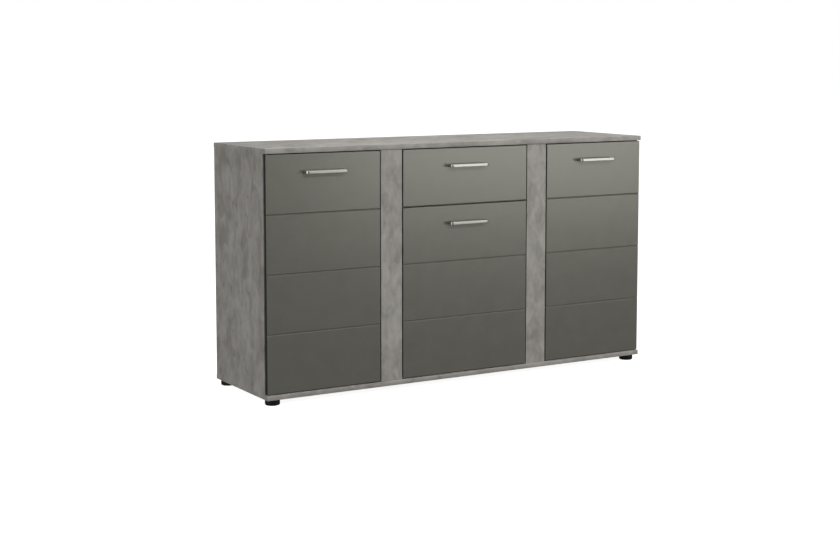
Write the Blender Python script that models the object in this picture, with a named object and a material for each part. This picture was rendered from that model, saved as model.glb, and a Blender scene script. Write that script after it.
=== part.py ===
"""Low three-column sideboard: three hinged doors, one drawer, grooved fronts, bar handles.

Frame: +Z up from the underside of the feet, +X to the right, the fronts face -Y.
The origin is under the middle of the whole object, handles included. Units are metres.
"""

import math

import bmesh
import bpy
from mathutils import Matrix, Vector

# Overall sizes
WIDTH = 1.500
DEPTH = 0.405
BODY_HEIGHT = 0.805
FOOT_HEIGHT = 0.020

# Carcass
BOARD = 0.016
BACK_THICKNESS = 0.003
PILASTER_WIDTH = 0.080
PILASTER_SETBACK = 0.0015
DIVIDER_OVERLAP = 0.00425
EDGE_CHAMFER = 0.0006

# Fronts
FRONT = 0.016
FRONT_RECESS = 0.0025
FRONT_AIR = 0.0015
CENTRE_FRONT_WIDTH = 0.496
FRONT_GAP = 0.00375
END_INSET = 0.003
RUN_GAP = 0.003
DRAWER_GAP = 0.004
SECTIONS = 4
GROOVE_WIDTH = 0.006
GROOVE_DEPTH = 0.003

# Handles
HANDLE_LENGTH = 0.150
HANDLE_HEIGHT = 0.010
HANDLE_REACH = 0.028
HANDLE_BAR = 0.005
HANDLE_LEG = 0.007
HANDLE_CORNER = 0.004
HANDLE_DROP = 0.0585

# Feet
FOOT_RADIUS = 0.025
FOOT_SIDE = 0.0315
FOOT_FRONT = 0.031
FOOT_REAR = 0.025

# Shelves
LOOSE_SHELF_SETBACK = 0.015
LOOSE_SHELF_SIDE_GAP = 0.001
OUTER_SHELVES = 2
CENTRE_SHELVES = 1

# Drawer box and its runners, which are sold in lengths of whole steps
RUNNER_SPACE = 0.0127
RUNNER_STEP = 0.050
RUNNER_SETBACK = 0.002
RUNNER_REAR_ROOM = 0.010
RUNNER_WALL = 0.0012
OUTER_RAIL = (0.045, 0.0100)
MIDDLE_RAIL = (0.037, 0.0065)
INNER_RAIL = (0.029, 0.0055)
DRAWER_WALL = 0.012
DRAWER_BOX_HEIGHT = 0.130
DRAWER_FLOOR = 0.003
FLOOR_RISE = 0.012
FLOOR_GROOVE = 0.006

# Cup hinges, measured in the hinge plane: X inwards from the door's hinge edge, Y behind its back
HINGE_FROM_END = 0.100
BORE_RADIUS = 0.0175
BORE_EDGE = 0.005
BORE_DEPTH = 0.012
CUP_WALL = 0.0008
CUP_DEPTH = 0.0116
EAR_WIDTH = 0.012
EAR_LENGTH = 0.064
EAR_THICKNESS = 0.0008
PIN_RADIUS = 0.0010
PIN_CLEARANCE = 0.00035
EYE_RADIUS = 0.0023
LINK_HALF_HEIGHT = 0.0045
LINK_HALF_WALL = 0.0015
CHEEK = 0.0015
CHEEK_CLEARANCE = 0.0005
EYE_ROOM = 0.0011
PIN_SUNK = 0.0030
LINK_BENDS = ((0.0039, -0.0046), (0.0108, 0.0012))
LINK_REACH = (0.0185, 0.0130)
PLATE_HOLE_LINE = 0.037
PLATE_THICKNESS = 0.004
PLATE_LENGTH = 0.050
PLATE_HALF_HEIGHT = 0.0085
WING_LENGTH = 0.013
WING_HALF_HEIGHT = 0.024
ARM_LENGTH = 0.062

# Clearance between pieces that touch, and the sides of a round piece
TOUCH = 0.0003
ROUND_STEPS = 24

# Places worked out from the sizes above
CABINET_FRONT = -(DEPTH - (HANDLE_REACH - FRONT_RECESS)) / 2
CABINET_BACK = CABINET_FRONT + DEPTH
FRONT_FACE = CABINET_FRONT + FRONT_RECESS
FRONT_BACK = FRONT_FACE + FRONT
CARCASS_FACE = FRONT_BACK + FRONT_AIR
PANEL_BACK = CABINET_BACK - BACK_THICKNESS - TOUCH
FLOOR_TOP = FOOT_HEIGHT + BOARD
BODY_TOP = FOOT_HEIGHT + BODY_HEIGHT
CEILING = BODY_TOP - BOARD
SIDE_INNER = WIDTH / 2 - BOARD
CENTRE_HALF = CENTRE_FRONT_WIDTH / 2
PILASTER_INNER = CENTRE_HALF + FRONT_GAP
PILASTER_OUTER = PILASTER_INNER + PILASTER_WIDTH
DIVIDER_INNER = CENTRE_HALF - DIVIDER_OVERLAP
DIVIDER_OUTER = DIVIDER_INNER + BOARD
OUTER_DOOR_INNER = PILASTER_OUTER + FRONT_GAP
OUTER_DOOR_OUTER = WIDTH / 2 - END_INSET
FRONTS_BOTTOM = FLOOR_TOP + RUN_GAP
FRONTS_TOP = CEILING - RUN_GAP
SECTION = (FRONTS_TOP - FRONTS_BOTTOM) / SECTIONS
DRAWER_LINE = FRONTS_TOP - SECTION
DRAWER_FRONT_BOTTOM = DRAWER_LINE + DRAWER_GAP / 2
CENTRE_DOOR_TOP = DRAWER_LINE - DRAWER_GAP / 2
FIXED_SHELF_TOP = DRAWER_LINE + BOARD / 2
FIXED_SHELF_BOTTOM = DRAWER_LINE - BOARD / 2
DRAWER_OUTER = DIVIDER_INNER - RUNNER_SPACE
DRAWER_INNER = DRAWER_OUTER - DRAWER_WALL
DRAWER_BOX_BOTTOM = (FIXED_SHELF_TOP + CEILING - DRAWER_BOX_HEIGHT) / 2
RUNNER_START = CARCASS_FACE + RUNNER_SETBACK
RUNNER_LENGTH = (PANEL_BACK - RUNNER_REAR_ROOM - RUNNER_START) // RUNNER_STEP * RUNNER_STEP
DRAWER_BOX_FRONT = FRONT_BACK + TOUCH
DRAWER_BOX_BACK = RUNNER_START + RUNNER_LENGTH
DRAWER_SLOT_TOP = DRAWER_BOX_BOTTOM + FLOOR_RISE + DRAWER_FLOOR + 2 * TOUCH
RUNNER_LEVEL = DRAWER_BOX_BOTTOM + DRAWER_BOX_HEIGHT / 2
CUP_PIVOT = (BORE_EDGE + TOUCH + CUP_WALL + EYE_ROOM + EYE_RADIUS, -PIN_SUNK)
ARM_PIVOT = (CUP_PIVOT[0] + LINK_REACH[0], CUP_PIVOT[1] + LINK_REACH[1])


def clear_scene():
    for thing in list(bpy.data.objects):
        bpy.data.objects.remove(thing, do_unlink=True)


def make_material(name, colour, roughness, metallic):
    """A Principled material; the colour is linear red, green and blue."""
    finish = bpy.data.materials.new(name)
    finish.use_nodes = True
    shader = finish.node_tree.nodes["Principled BSDF"]
    shader.inputs["Base Color"].default_value = (*colour, 1.0)
    shader.inputs["Roughness"].default_value = roughness
    shader.inputs["Metallic"].default_value = metallic
    finish.diffuse_color = (*colour, 1.0)
    return finish


def make_pivot(name, x, y, z):
    """An empty on a joint's axis, which the pieces of one moving body hang from."""
    pivot = bpy.data.objects.new(name, None)
    pivot.location = (x, y, z)
    bpy.context.scene.collection.objects.link(pivot)
    return pivot


def make_piece(name, mesh, finish, pivot, smooth_angle=None):
    """A named object at the middle of its own mesh, parented to its body's empty.

    The mesh arrives in world coordinates.
    """
    bmesh.ops.recalc_face_normals(mesh, faces=mesh.faces)
    corners = [vertex.co for vertex in mesh.verts]
    low = Vector([min(corner[axis] for corner in corners) for axis in range(3)])
    high = Vector([max(corner[axis] for corner in corners) for axis in range(3)])
    centre = (low + high) / 2
    bmesh.ops.translate(mesh, vec=-centre, verts=mesh.verts)
    data = bpy.data.meshes.new(name)
    mesh.to_mesh(data)
    mesh.free()
    if smooth_angle is not None:
        data.shade_smooth()
        data.set_sharp_from_angle(angle=smooth_angle)
    if finish is not None:
        data.materials.append(finish)
    piece = bpy.data.objects.new(name, data)
    bpy.context.scene.collection.objects.link(piece)
    piece.parent = pivot
    piece.location = centre - pivot.location
    return piece


def box_mesh(low, high, chamfer=0.0):
    """A box between two corners, with its edges chamfered."""
    mesh = bmesh.new()
    size = Vector(high) - Vector(low)
    bmesh.ops.create_cube(mesh, size=1.0, matrix=Matrix.Diagonal((*size, 1.0)))
    bmesh.ops.translate(mesh, vec=(Vector(low) + Vector(high)) / 2, verts=mesh.verts)
    if chamfer:
        bmesh.ops.bevel(
            mesh, geom=mesh.edges[:], offset=chamfer, segments=1, affect="EDGES", clamp_overlap=True
        )
    return mesh


def prism_mesh(outline, axis, start, end):
    """A closed outline extruded along one axis.

    The outline's points are (Y, Z) along X, (X, Z) along Y and (X, Y) along Z.
    """
    mesh = bmesh.new()
    corners = []
    for first, second in outline:
        point = [first, second]
        point.insert(axis, start)
        corners.append(mesh.verts.new(point))
    face = mesh.faces.new(corners)
    grown = bmesh.ops.extrude_face_region(mesh, geom=[face])
    far_side = [item for item in grown["geom"] if isinstance(item, bmesh.types.BMVert)]
    step = Vector((0, 0, 0))
    step[axis] = end - start
    bmesh.ops.translate(mesh, vec=step, verts=far_side)
    return mesh


def turned_mesh(profile, centre, direction):
    """A profile of (radius, height) points turned about a line through centre along direction."""
    mesh = bmesh.new()
    rings = []
    for radius, height in profile:
        ring = []
        for step in range(ROUND_STEPS):
            angle = 2 * math.pi * step / ROUND_STEPS
            point = Vector((radius * math.cos(angle), radius * math.sin(angle), height))
            ring.append(mesh.verts.new(point))
        rings.append(ring)
    for lower, upper in zip(rings, rings[1:]):
        for step in range(ROUND_STEPS):
            after = (step + 1) % ROUND_STEPS
            mesh.faces.new((lower[step], lower[after], upper[after], upper[step]))
    mesh.faces.new(rings[0])
    mesh.faces.new(rings[-1])
    turn = Vector((0, 0, 1)).rotation_difference(Vector(direction)).to_matrix().to_4x4()
    bmesh.ops.transform(mesh, matrix=Matrix.Translation(centre) @ turn, verts=mesh.verts)
    return mesh


def combine(piece, operation, mesh, name):
    """Joins a helper shape to a piece, or cuts it away; the helper stays out of the render."""
    helper = make_piece(name, mesh, None, piece.parent)
    helper.hide_render = True
    helper.display_type = "WIRE"
    modifier = piece.modifiers.new(name, "BOOLEAN")
    modifier.operation = operation
    modifier.object = helper
    modifier.solver = "EXACT"


def make_board(name, low, high, finish, pivot):
    return make_piece(name, box_mesh(low, high, EDGE_CHAMFER), finish, pivot)


def build_shell(decor, inside, pivot):
    """Top, bottom, sides, dividers, pilasters, back panels and the fixed shelf."""
    for name, low, high in (
        ("bottom_board", FOOT_HEIGHT, FLOOR_TOP),
        ("top_board", CEILING, BODY_TOP),
    ):
        make_board(
            name,
            (-WIDTH / 2, CABINET_FRONT, low),
            (WIDTH / 2, CABINET_BACK, high),
            decor,
            pivot,
        )
    low_z = FLOOR_TOP + TOUCH
    high_z = CEILING - TOUCH
    uprights = (
        ("side_panel", SIDE_INNER, WIDTH / 2, CARCASS_FACE, PANEL_BACK, decor),
        ("divider", DIVIDER_INNER, DIVIDER_OUTER, CARCASS_FACE, PANEL_BACK, inside),
        (
            "pilaster",
            PILASTER_INNER,
            PILASTER_OUTER,
            FRONT_FACE + PILASTER_SETBACK,
            CARCASS_FACE - TOUCH,
            decor,
        ),
    )
    for stem, inner, outer, front, back, finish in uprights:
        make_board(f"{stem}_left", (-outer, front, low_z), (-inner, back, high_z), finish, pivot)
        make_board(f"{stem}_right", (inner, front, low_z), (outer, back, high_z), finish, pivot)
    seam = (DIVIDER_INNER + DIVIDER_OUTER) / 2
    edge = WIDTH / 2 - EDGE_CHAMFER
    backs = (
        ("back_panel_left", -edge, -seam - TOUCH),
        ("back_panel_centre", -seam + TOUCH, seam - TOUCH),
        ("back_panel_right", seam + TOUCH, edge),
    )
    for name, left, right in backs:
        panel = box_mesh(
            (left, CABINET_BACK - BACK_THICKNESS, low_z), (right, CABINET_BACK, high_z)
        )
        make_piece(name, panel, inside, pivot)
    make_board(
        "fixed_shelf",
        (-DIVIDER_INNER + TOUCH, CARCASS_FACE, FIXED_SHELF_BOTTOM),
        (DIVIDER_INNER - TOUCH, PANEL_BACK, FIXED_SHELF_TOP),
        inside,
        pivot,
    )


def build_loose_shelves(inside, pivot):
    """Shelves on pins: they share out the height of each column behind a door."""
    columns = (
        ("left", -SIDE_INNER, -DIVIDER_OUTER, CEILING, OUTER_SHELVES),
        ("centre", -DIVIDER_INNER, DIVIDER_INNER, FIXED_SHELF_BOTTOM, CENTRE_SHELVES),
        ("right", DIVIDER_OUTER, SIDE_INNER, CEILING, OUTER_SHELVES),
    )
    for column, left, right, roof, count in columns:
        for number in range(1, count + 1):
            level = FLOOR_TOP + (roof - FLOOR_TOP) * number / (count + 1)
            make_board(
                f"loose_shelf_{column}_{number}",
                (left + LOOSE_SHELF_SIDE_GAP, CARCASS_FACE + LOOSE_SHELF_SETBACK, level - BOARD / 2),
                (right - LOOSE_SHELF_SIDE_GAP, PANEL_BACK - TOUCH, level + BOARD / 2),
                inside,
                pivot,
            )


def build_feet(plastic, pivot):
    """Round glide feet: slightly tapered, with a rounded sole."""
    top = FOOT_HEIGHT - TOUCH
    profile = (
        (FOOT_RADIUS * 0.86, 0.0),
        (FOOT_RADIUS * 0.93, FOOT_HEIGHT * 0.06),
        (FOOT_RADIUS * 0.96, FOOT_HEIGHT * 0.18),
        (FOOT_RADIUS, top * 0.82),
        (FOOT_RADIUS, top),
    )
    side = WIDTH / 2 - FOOT_SIDE
    front = CABINET_FRONT + FOOT_FRONT
    rear = CABINET_BACK - FOOT_REAR
    middle = (front + rear) / 2
    places = (
        ("foot_front_left", -side, front),
        ("foot_front_right", side, front),
        ("foot_rear_left", -side, rear),
        ("foot_rear_right", side, rear),
        ("foot_middle", 0.0, middle),
    )
    for name, x, y in places:
        foot = turned_mesh(profile, (x, y, 0.0), (0, 0, 1))
        make_piece(name, foot, plastic, pivot, math.radians(30))


def front_outline(bottom, top, grooves):
    """The (Y, Z) outline of a front, with a V groove in its face at each height given."""
    chamfer = EDGE_CHAMFER
    outline = [
        (FRONT_BACK, bottom),
        (FRONT_FACE + chamfer, bottom),
        (FRONT_FACE, bottom + chamfer),
    ]
    for level in grooves:
        outline.append((FRONT_FACE, level - GROOVE_WIDTH / 2))
        outline.append((FRONT_FACE + GROOVE_DEPTH, level))
        outline.append((FRONT_FACE, level + GROOVE_WIDTH / 2))
    outline.append((FRONT_FACE, top - chamfer))
    outline.append((FRONT_FACE + chamfer, top))
    outline.append((FRONT_BACK, top))
    return outline


def build_front(name, left, right, bottom, top, grooves, lacquer, pivot):
    mesh = prism_mesh(front_outline(bottom, top, grooves), 0, left, right)
    return make_piece(name, mesh, lacquer, pivot)


def build_handle(name, left, right, front_top, metal, pivot):
    """A bow handle: a flat bar with a leg at each end, centred on the front's width."""
    centre = (left + right) / 2
    half = HANDLE_LENGTH / 2
    level = front_top - HANDLE_DROP
    near = FRONT_FACE - HANDLE_REACH
    foot = FRONT_FACE - TOUCH
    inner = half - HANDLE_LEG
    bar_back = near + HANDLE_BAR
    right_half = [
        (half, foot),
        (inner, foot),
        (inner, bar_back),
    ]
    outline = [(centre + x, y) for x, y in right_half]
    outline += [(centre - x, y) for x, y in reversed(right_half)]
    corner_steps = 4
    for step in range(corner_steps + 1):
        angle = math.pi / 2 * step / corner_steps
        x = half - HANDLE_CORNER + HANDLE_CORNER * math.cos(angle)
        y = near + HANDLE_CORNER - HANDLE_CORNER * math.sin(angle)
        outline.append((centre - x, y))
    for step in range(corner_steps + 1):
        angle = math.pi / 2 * (1 - step / corner_steps)
        x = half - HANDLE_CORNER + HANDLE_CORNER * math.cos(angle)
        y = near + HANDLE_CORNER - HANDLE_CORNER * math.sin(angle)
        outline.append((centre + x, y))
    mesh = prism_mesh(outline, 2, level - HANDLE_HEIGHT / 2, level + HANDLE_HEIGHT / 2)
    make_piece(name, mesh, metal, pivot)


class HingePlane:
    """Turns hinge-plane points into world X and Y, for a door hinged on its left or right."""

    def __init__(self, door_edge, inwards):
        self.door_edge = door_edge
        self.inwards = inwards

    def world(self, point):
        x, y = point
        return (self.door_edge + self.inwards * x, FRONT_BACK + y)

    def outline(self, points):
        return [self.world(point) for point in points]

    def cylinder(self, centre, radius, low, high):
        """An upright round bar between two heights."""
        x, y = self.world(centre)
        return turned_mesh(((radius, 0.0), (radius, high - low)), (x, y, low), (0, 0, 1))

    def block(self, low, high):
        """A box between two corners given in the hinge plane, with Z in the world."""
        first = self.world(low[:2])
        second = self.world(high[:2])
        return box_mesh(
            (min(first[0], second[0]), first[1], low[2]),
            (max(first[0], second[0]), second[1], high[2]),
        )


def strip_outline(path, half_wall):
    """The outline of a strip of even wall that follows a bent path, mitred at its bends."""
    points = [Vector(point) for point in path]
    sides = []
    for number, point in enumerate(points):
        before = points[max(number - 1, 0)]
        after = points[min(number + 1, len(points) - 1)]
        arriving = (point - before).normalized() if number else (after - point).normalized()
        leaving = (after - point).normalized() if number < len(points) - 1 else arriving
        bisector = (arriving + leaving).normalized()
        across = Vector((-bisector.y, bisector.x))
        reach = half_wall / across.dot(Vector((-arriving.y, arriving.x)))
        sides.append((point + across * reach, point - across * reach))
    return [tuple(left) for left, _ in sides] + [tuple(right) for _, right in reversed(sides)]


def build_cup(name, plane, level, steel, pivot):
    """The hinge cup in the door: a turned cup, its two fixing ears and the link's pin."""
    bore_centre = (BORE_EDGE + BORE_RADIUS, 0.0)
    x, y = plane.world(bore_centre)
    outer = BORE_RADIUS - TOUCH
    inner = outer - CUP_WALL
    rim = TOUCH + EAR_THICKNESS
    shell = turned_mesh(((outer, -rim), (outer, CUP_DEPTH)), (x, y, level), (0, -1, 0))
    cup = make_piece(name, shell, steel, pivot, math.radians(30))
    ears = plane.block(
        (bore_centre[0] - EAR_WIDTH / 2, TOUCH, level - EAR_LENGTH / 2),
        (bore_centre[0] + EAR_WIDTH / 2, rim, level + EAR_LENGTH / 2),
    )
    mouth = turned_mesh(
        ((inner, -2 * rim), (inner, CUP_DEPTH - CUP_WALL)), (x, y, level), (0, -1, 0)
    )
    reach = math.sqrt(outer**2 - (bore_centre[0] - CUP_PIVOT[0] + PIN_RADIUS) ** 2) - TOUCH / 2
    pin = plane.cylinder(CUP_PIVOT, PIN_RADIUS, level - reach, level + reach)
    combine(cup, "UNION", ears, f"{name}_ears")
    combine(cup, "DIFFERENCE", mouth, f"{name}_mouth")
    combine(cup, "UNION", pin, f"{name}_pin")


def build_link(name, plane, level, steel, pivot):
    """The bent link between the arm and the cup, with an eye for the pin at each end."""
    bends = [(CUP_PIVOT[0] + x, CUP_PIVOT[1] + y) for x, y in LINK_BENDS]
    path = (CUP_PIVOT, *bends, ARM_PIVOT)
    low = level - LINK_HALF_HEIGHT
    high = level + LINK_HALF_HEIGHT
    outline = plane.outline(strip_outline(path, LINK_HALF_WALL))
    link = make_piece(name, prism_mesh(outline, 2, low, high), steel, pivot)
    for place, end in ((CUP_PIVOT, "cup"), (ARM_PIVOT, "arm")):
        eye = plane.cylinder(place, EYE_RADIUS, low, high)
        combine(link, "UNION", eye, f"{name}_{end}_eye")
    for place, end in ((CUP_PIVOT, "cup"), (ARM_PIVOT, "arm")):
        hole = plane.cylinder(
            place, PIN_RADIUS + PIN_CLEARANCE, low - LINK_HALF_HEIGHT, high + LINK_HALF_HEIGHT
        )
        combine(link, "DIFFERENCE", hole, f"{name}_{end}_hole")


def build_arm(name, plane, wall, level, steel, pivot):
    """The arm and its mounting plate on the upright, whose face is at wall in the hinge plane."""
    hole_line = FRONT_AIR + PLATE_HOLE_LINE
    seat = wall + TOUCH
    plate_top = seat + PLATE_THICKNESS
    inner = LINK_HALF_HEIGHT + CHEEK_CLEARANCE
    outer = inner + CHEEK
    plate = plane.block(
        (seat, hole_line - PLATE_LENGTH / 2, level - PLATE_HALF_HEIGHT),
        (plate_top, hole_line + PLATE_LENGTH / 2, level + PLATE_HALF_HEIGHT),
    )
    wings = plane.block(
        (seat, hole_line - WING_LENGTH / 2, level - WING_HALF_HEIGHT),
        (plate_top - PLATE_THICKNESS / 4, hole_line + WING_LENGTH / 2, level + WING_HALF_HEIGHT),
    )
    pivot_x, pivot_y = ARM_PIVOT
    nose = EYE_RADIUS + CHEEK
    shoulder = pivot_y + 2 * nose
    arm_back = pivot_y + ARM_LENGTH
    profile = (
        (pivot_x - nose, pivot_y - nose),
        (pivot_x + nose, pivot_y - nose),
        (pivot_x + nose, shoulder),
        (pivot_x, arm_back),
        (plate_top - CHEEK, arm_back),
        (plate_top - CHEEK, hole_line - PLATE_LENGTH / 2 + nose),
    )
    arm = make_piece(
        name, prism_mesh(plane.outline(profile), 2, level - outer, level + outer), steel, pivot
    )
    slot = plane.block(
        (seat, pivot_y - 2 * nose, level - inner), (pivot_x + 2 * nose, shoulder, level + inner)
    )
    pin = plane.cylinder(
        ARM_PIVOT, PIN_RADIUS, level - outer + CHEEK / 3, level + outer - CHEEK / 3
    )
    combine(arm, "DIFFERENCE", slot, f"{name}_slot")
    combine(arm, "UNION", pin, f"{name}_pin")
    combine(arm, "UNION", plate, f"{name}_plate")
    combine(arm, "UNION", wings, f"{name}_wings")


def build_door(column, hinge_edge, free_edge, upright, top, grooves, finishes, carcass):
    """A door with its handle, cups, links and arms; upright is the face that the arms sit on."""
    inwards = 1 if free_edge > hinge_edge else -1
    plane = HingePlane(hinge_edge, inwards)
    left = min(hinge_edge, free_edge)
    right = max(hinge_edge, free_edge)
    middle = (FRONTS_BOTTOM + top) / 2
    door_pivot = make_pivot(f"{column}_door_axis", *plane.world(CUP_PIVOT), middle)
    link_pivot = make_pivot(f"{column}_link_axis", *plane.world(ARM_PIVOT), middle)
    door = build_front(
        f"door_{column}", left, right, FRONTS_BOTTOM, top, grooves, finishes["lacquer"], door_pivot
    )
    build_handle(f"handle_{column}_door", left, right, top, finishes["handle"], door_pivot)
    wall = (upright - hinge_edge) * inwards
    bore_x, bore_y = plane.world((BORE_EDGE + BORE_RADIUS, 0.0))
    for place, level in (
        ("lower", FRONTS_BOTTOM + HINGE_FROM_END),
        ("upper", top - HINGE_FROM_END),
    ):
        bore = turned_mesh(
            ((BORE_RADIUS, -BORE_DEPTH), (BORE_RADIUS, BORE_DEPTH)),
            (bore_x, bore_y, level),
            (0, -1, 0),
        )
        combine(door, "DIFFERENCE", bore, f"door_{column}_{place}_bore")
        stem = f"{column}_{place}"
        build_cup(f"hinge_cup_{stem}", plane, level, finishes["steel"], door_pivot)
        build_link(f"hinge_link_{stem}", plane, level, finishes["steel"], link_pivot)
        build_arm(f"hinge_arm_{stem}", plane, wall, level, finishes["steel"], carcass)


def build_doors(finishes, carcass):
    levels = [FRONTS_BOTTOM + SECTION * number for number in range(1, SECTIONS)]
    outer = (FRONTS_TOP, levels)
    centre = (CENTRE_DOOR_TOP, levels[:-1])
    build_door(
        "left", -OUTER_DOOR_OUTER, -OUTER_DOOR_INNER, -SIDE_INNER, *outer, finishes, carcass
    )
    build_door("centre", -CENTRE_HALF, CENTRE_HALF, -DIVIDER_INNER, *centre, finishes, carcass)
    build_door("right", OUTER_DOOR_OUTER, OUTER_DOOR_INNER, SIDE_INNER, *outer, finishes, carcass)


def build_drawer(finishes, pivot):
    """Front, two sides grooved for the floor, the back and the thin floor."""
    build_front(
        "drawer_front",
        -CENTRE_HALF,
        CENTRE_HALF,
        DRAWER_FRONT_BOTTOM,
        FRONTS_TOP,
        (),
        finishes["lacquer"],
        pivot,
    )
    build_handle(
        "handle_drawer", -CENTRE_HALF, CENTRE_HALF, FRONTS_TOP, finishes["handle"], pivot
    )
    bottom = DRAWER_BOX_BOTTOM
    top = bottom + DRAWER_BOX_HEIGHT
    slot_low = bottom + FLOOR_RISE
    slot_high = DRAWER_SLOT_TOP
    slot_end = DRAWER_INNER + FLOOR_GROOVE
    outline = (
        (DRAWER_INNER, bottom),
        (DRAWER_OUTER, bottom),
        (DRAWER_OUTER, top),
        (DRAWER_INNER, top),
        (DRAWER_INNER, slot_high),
        (slot_end, slot_high),
        (slot_end, slot_low),
        (DRAWER_INNER, slot_low),
    )
    for side, sign in (("left", -1), ("right", 1)):
        mirrored = [(sign * x, z) for x, z in outline]
        mesh = prism_mesh(mirrored, 1, DRAWER_BOX_FRONT, DRAWER_BOX_BACK)
        make_piece(f"drawer_side_{side}", mesh, finishes["inside"], pivot)
    make_board(
        "drawer_back",
        (-DRAWER_INNER + TOUCH, DRAWER_BOX_BACK - DRAWER_WALL, slot_high + TOUCH),
        (DRAWER_INNER - TOUCH, DRAWER_BOX_BACK, top),
        finishes["inside"],
        pivot,
    )
    floor_edge = slot_end - TOUCH
    floor = box_mesh(
        (-floor_edge, DRAWER_BOX_FRONT, slot_low + TOUCH),
        (floor_edge, DRAWER_BOX_BACK, slot_low + TOUCH + DRAWER_FLOOR),
    )
    make_piece("drawer_floor", floor, finishes["inside"], pivot)


def rail_outline(web, flange_end, height):
    """A C-shaped rail: its web stands at web, and its flanges run from there to flange_end."""
    way = 1 if flange_end > web else -1
    wall = RUNNER_WALL
    half = height / 2
    return (
        (web, -half),
        (flange_end, -half),
        (flange_end, wall - half),
        (web + way * wall, wall - half),
        (web + way * wall, half - wall),
        (flange_end, half - wall),
        (flange_end, half),
        (web, half),
    )


def build_runners(steel, carcass, drawer):
    """Telescopic runners: a rail on the divider, one on the drawer side and one between them."""
    outer_web = TOUCH
    inner_web = RUNNER_SPACE - TOUCH
    middle_web = (outer_web + inner_web) / 2 - MIDDLE_RAIL[1] / 2
    rails = (
        ("outer", outer_web, outer_web + OUTER_RAIL[1], OUTER_RAIL[0]),
        ("middle", middle_web, middle_web + MIDDLE_RAIL[1], MIDDLE_RAIL[0]),
        ("inner", inner_web, inner_web - INNER_RAIL[1], INNER_RAIL[0]),
    )
    for side, sign in (("left", -1), ("right", 1)):
        middle = make_pivot(f"runner_middle_{side}_slide", 0.0, RUNNER_START, RUNNER_LEVEL)
        bodies = {"outer": carcass, "middle": middle, "inner": drawer}
        for rail, web, flange_end, height in rails:
            outline = [
                (sign * (DIVIDER_INNER - x), RUNNER_LEVEL + z)
                for x, z in rail_outline(web, flange_end, height)
            ]
            mesh = prism_mesh(outline, 1, RUNNER_START, RUNNER_START + RUNNER_LENGTH)
            make_piece(f"runner_{rail}_{side}", mesh, steel, bodies[rail])


def main():
    clear_scene()
    decor = make_material("concrete_decor", (0.33, 0.32, 0.31), 0.6, 0.0)
    inside = make_material("inside_board", (0.34, 0.33, 0.32), 0.6, 0.0)
    plastic = make_material("black_plastic", (0.01, 0.01, 0.01), 0.5, 0.0)
    finishes = {
        "lacquer": make_material("graphite_foil", (0.16, 0.16, 0.145), 0.35, 0.0),
        "handle": make_material("satin_aluminium", (0.70, 0.70, 0.66), 0.3, 1.0),
        "steel": make_material("nickelled_steel", (0.55, 0.55, 0.54), 0.3, 1.0),
        "inside": inside,
    }
    carcass = make_pivot("carcass_origin", 0.0, 0.0, 0.0)
    drawer = make_pivot("drawer_slide_axis", 0.0, FRONT_FACE, RUNNER_LEVEL)
    build_shell(decor, inside, carcass)
    build_loose_shelves(inside, carcass)
    build_feet(plastic, carcass)
    build_doors(finishes, carcass)
    build_drawer(finishes, drawer)
    build_runners(finishes["steel"], carcass, drawer)


main()
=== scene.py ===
# %% [markdown]
# # A concrete-decor sideboard with graphite fronts
#
# The cabinet arrives as a finished set of solids: boards, doors, a drawer, cup hinges, runners.
# This lesson gives it its looks. Boards get a printed concrete decor, the fronts are milled and
# wrapped in graphite foil, and the fittings get their screws, pins, balls and nails.
# Every place below is read from the solids, so nothing is fitted by eye.

import math

import bmesh
import bpy
from mathutils import Matrix, Vector


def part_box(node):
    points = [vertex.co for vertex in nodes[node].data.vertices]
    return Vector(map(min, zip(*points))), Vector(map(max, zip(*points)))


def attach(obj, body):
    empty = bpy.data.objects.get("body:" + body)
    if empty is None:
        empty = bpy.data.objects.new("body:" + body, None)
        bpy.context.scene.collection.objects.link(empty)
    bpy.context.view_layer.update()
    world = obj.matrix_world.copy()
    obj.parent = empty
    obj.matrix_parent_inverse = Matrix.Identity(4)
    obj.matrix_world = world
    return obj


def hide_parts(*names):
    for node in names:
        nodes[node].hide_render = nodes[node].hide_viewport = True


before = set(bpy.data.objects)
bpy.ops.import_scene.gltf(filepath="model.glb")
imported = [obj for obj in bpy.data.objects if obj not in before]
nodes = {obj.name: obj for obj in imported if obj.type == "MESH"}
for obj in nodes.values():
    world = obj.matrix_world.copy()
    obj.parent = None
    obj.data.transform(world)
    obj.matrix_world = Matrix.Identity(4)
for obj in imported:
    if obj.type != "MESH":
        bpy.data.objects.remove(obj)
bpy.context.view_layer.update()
MM = 0.001

# %% [markdown]
# The eye comes first, because everything else is judged through it. It stands a little above the
# top board and to the left of the cabinet, about five metres away, with a portrait-length lens.
# A lens shift keeps the uprights nearly parallel, as a furniture catalogue does.

# %% The camera
EYE = Vector((-2.799, -4.558, 1.127))
EYE_TURN = math.radians(30.90)
EYE_TILT = math.radians(5.59)
LENS = 65.76
LENS_SHIFT = -0.08

camera_data = bpy.data.cameras.new("eye")
camera_data.lens = LENS
camera_data.sensor_width = 36.0
camera_data.shift_y = LENS_SHIFT
camera = bpy.data.objects.new("eye", camera_data)
bpy.context.scene.collection.objects.link(camera)
looking = Vector(
    (
        math.sin(EYE_TURN) * math.cos(EYE_TILT),
        math.cos(EYE_TURN) * math.cos(EYE_TILT),
        -math.sin(EYE_TILT),
    )
)
camera.location = EYE
camera.rotation_euler = looking.to_track_quat("-Z", "Y").to_euler()
bpy.context.scene.camera = camera

# %% [markdown]
# Two helpers carry the whole lesson. One turns a paint-card hex value into the linear numbers
# that a shader wants. The other adds a node to any tree, shader or geometry: a dictionary sets or
# links its sockets, and keywords set its properties. Where a socket is given a whole node, that
# node's first output is linked.


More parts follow.
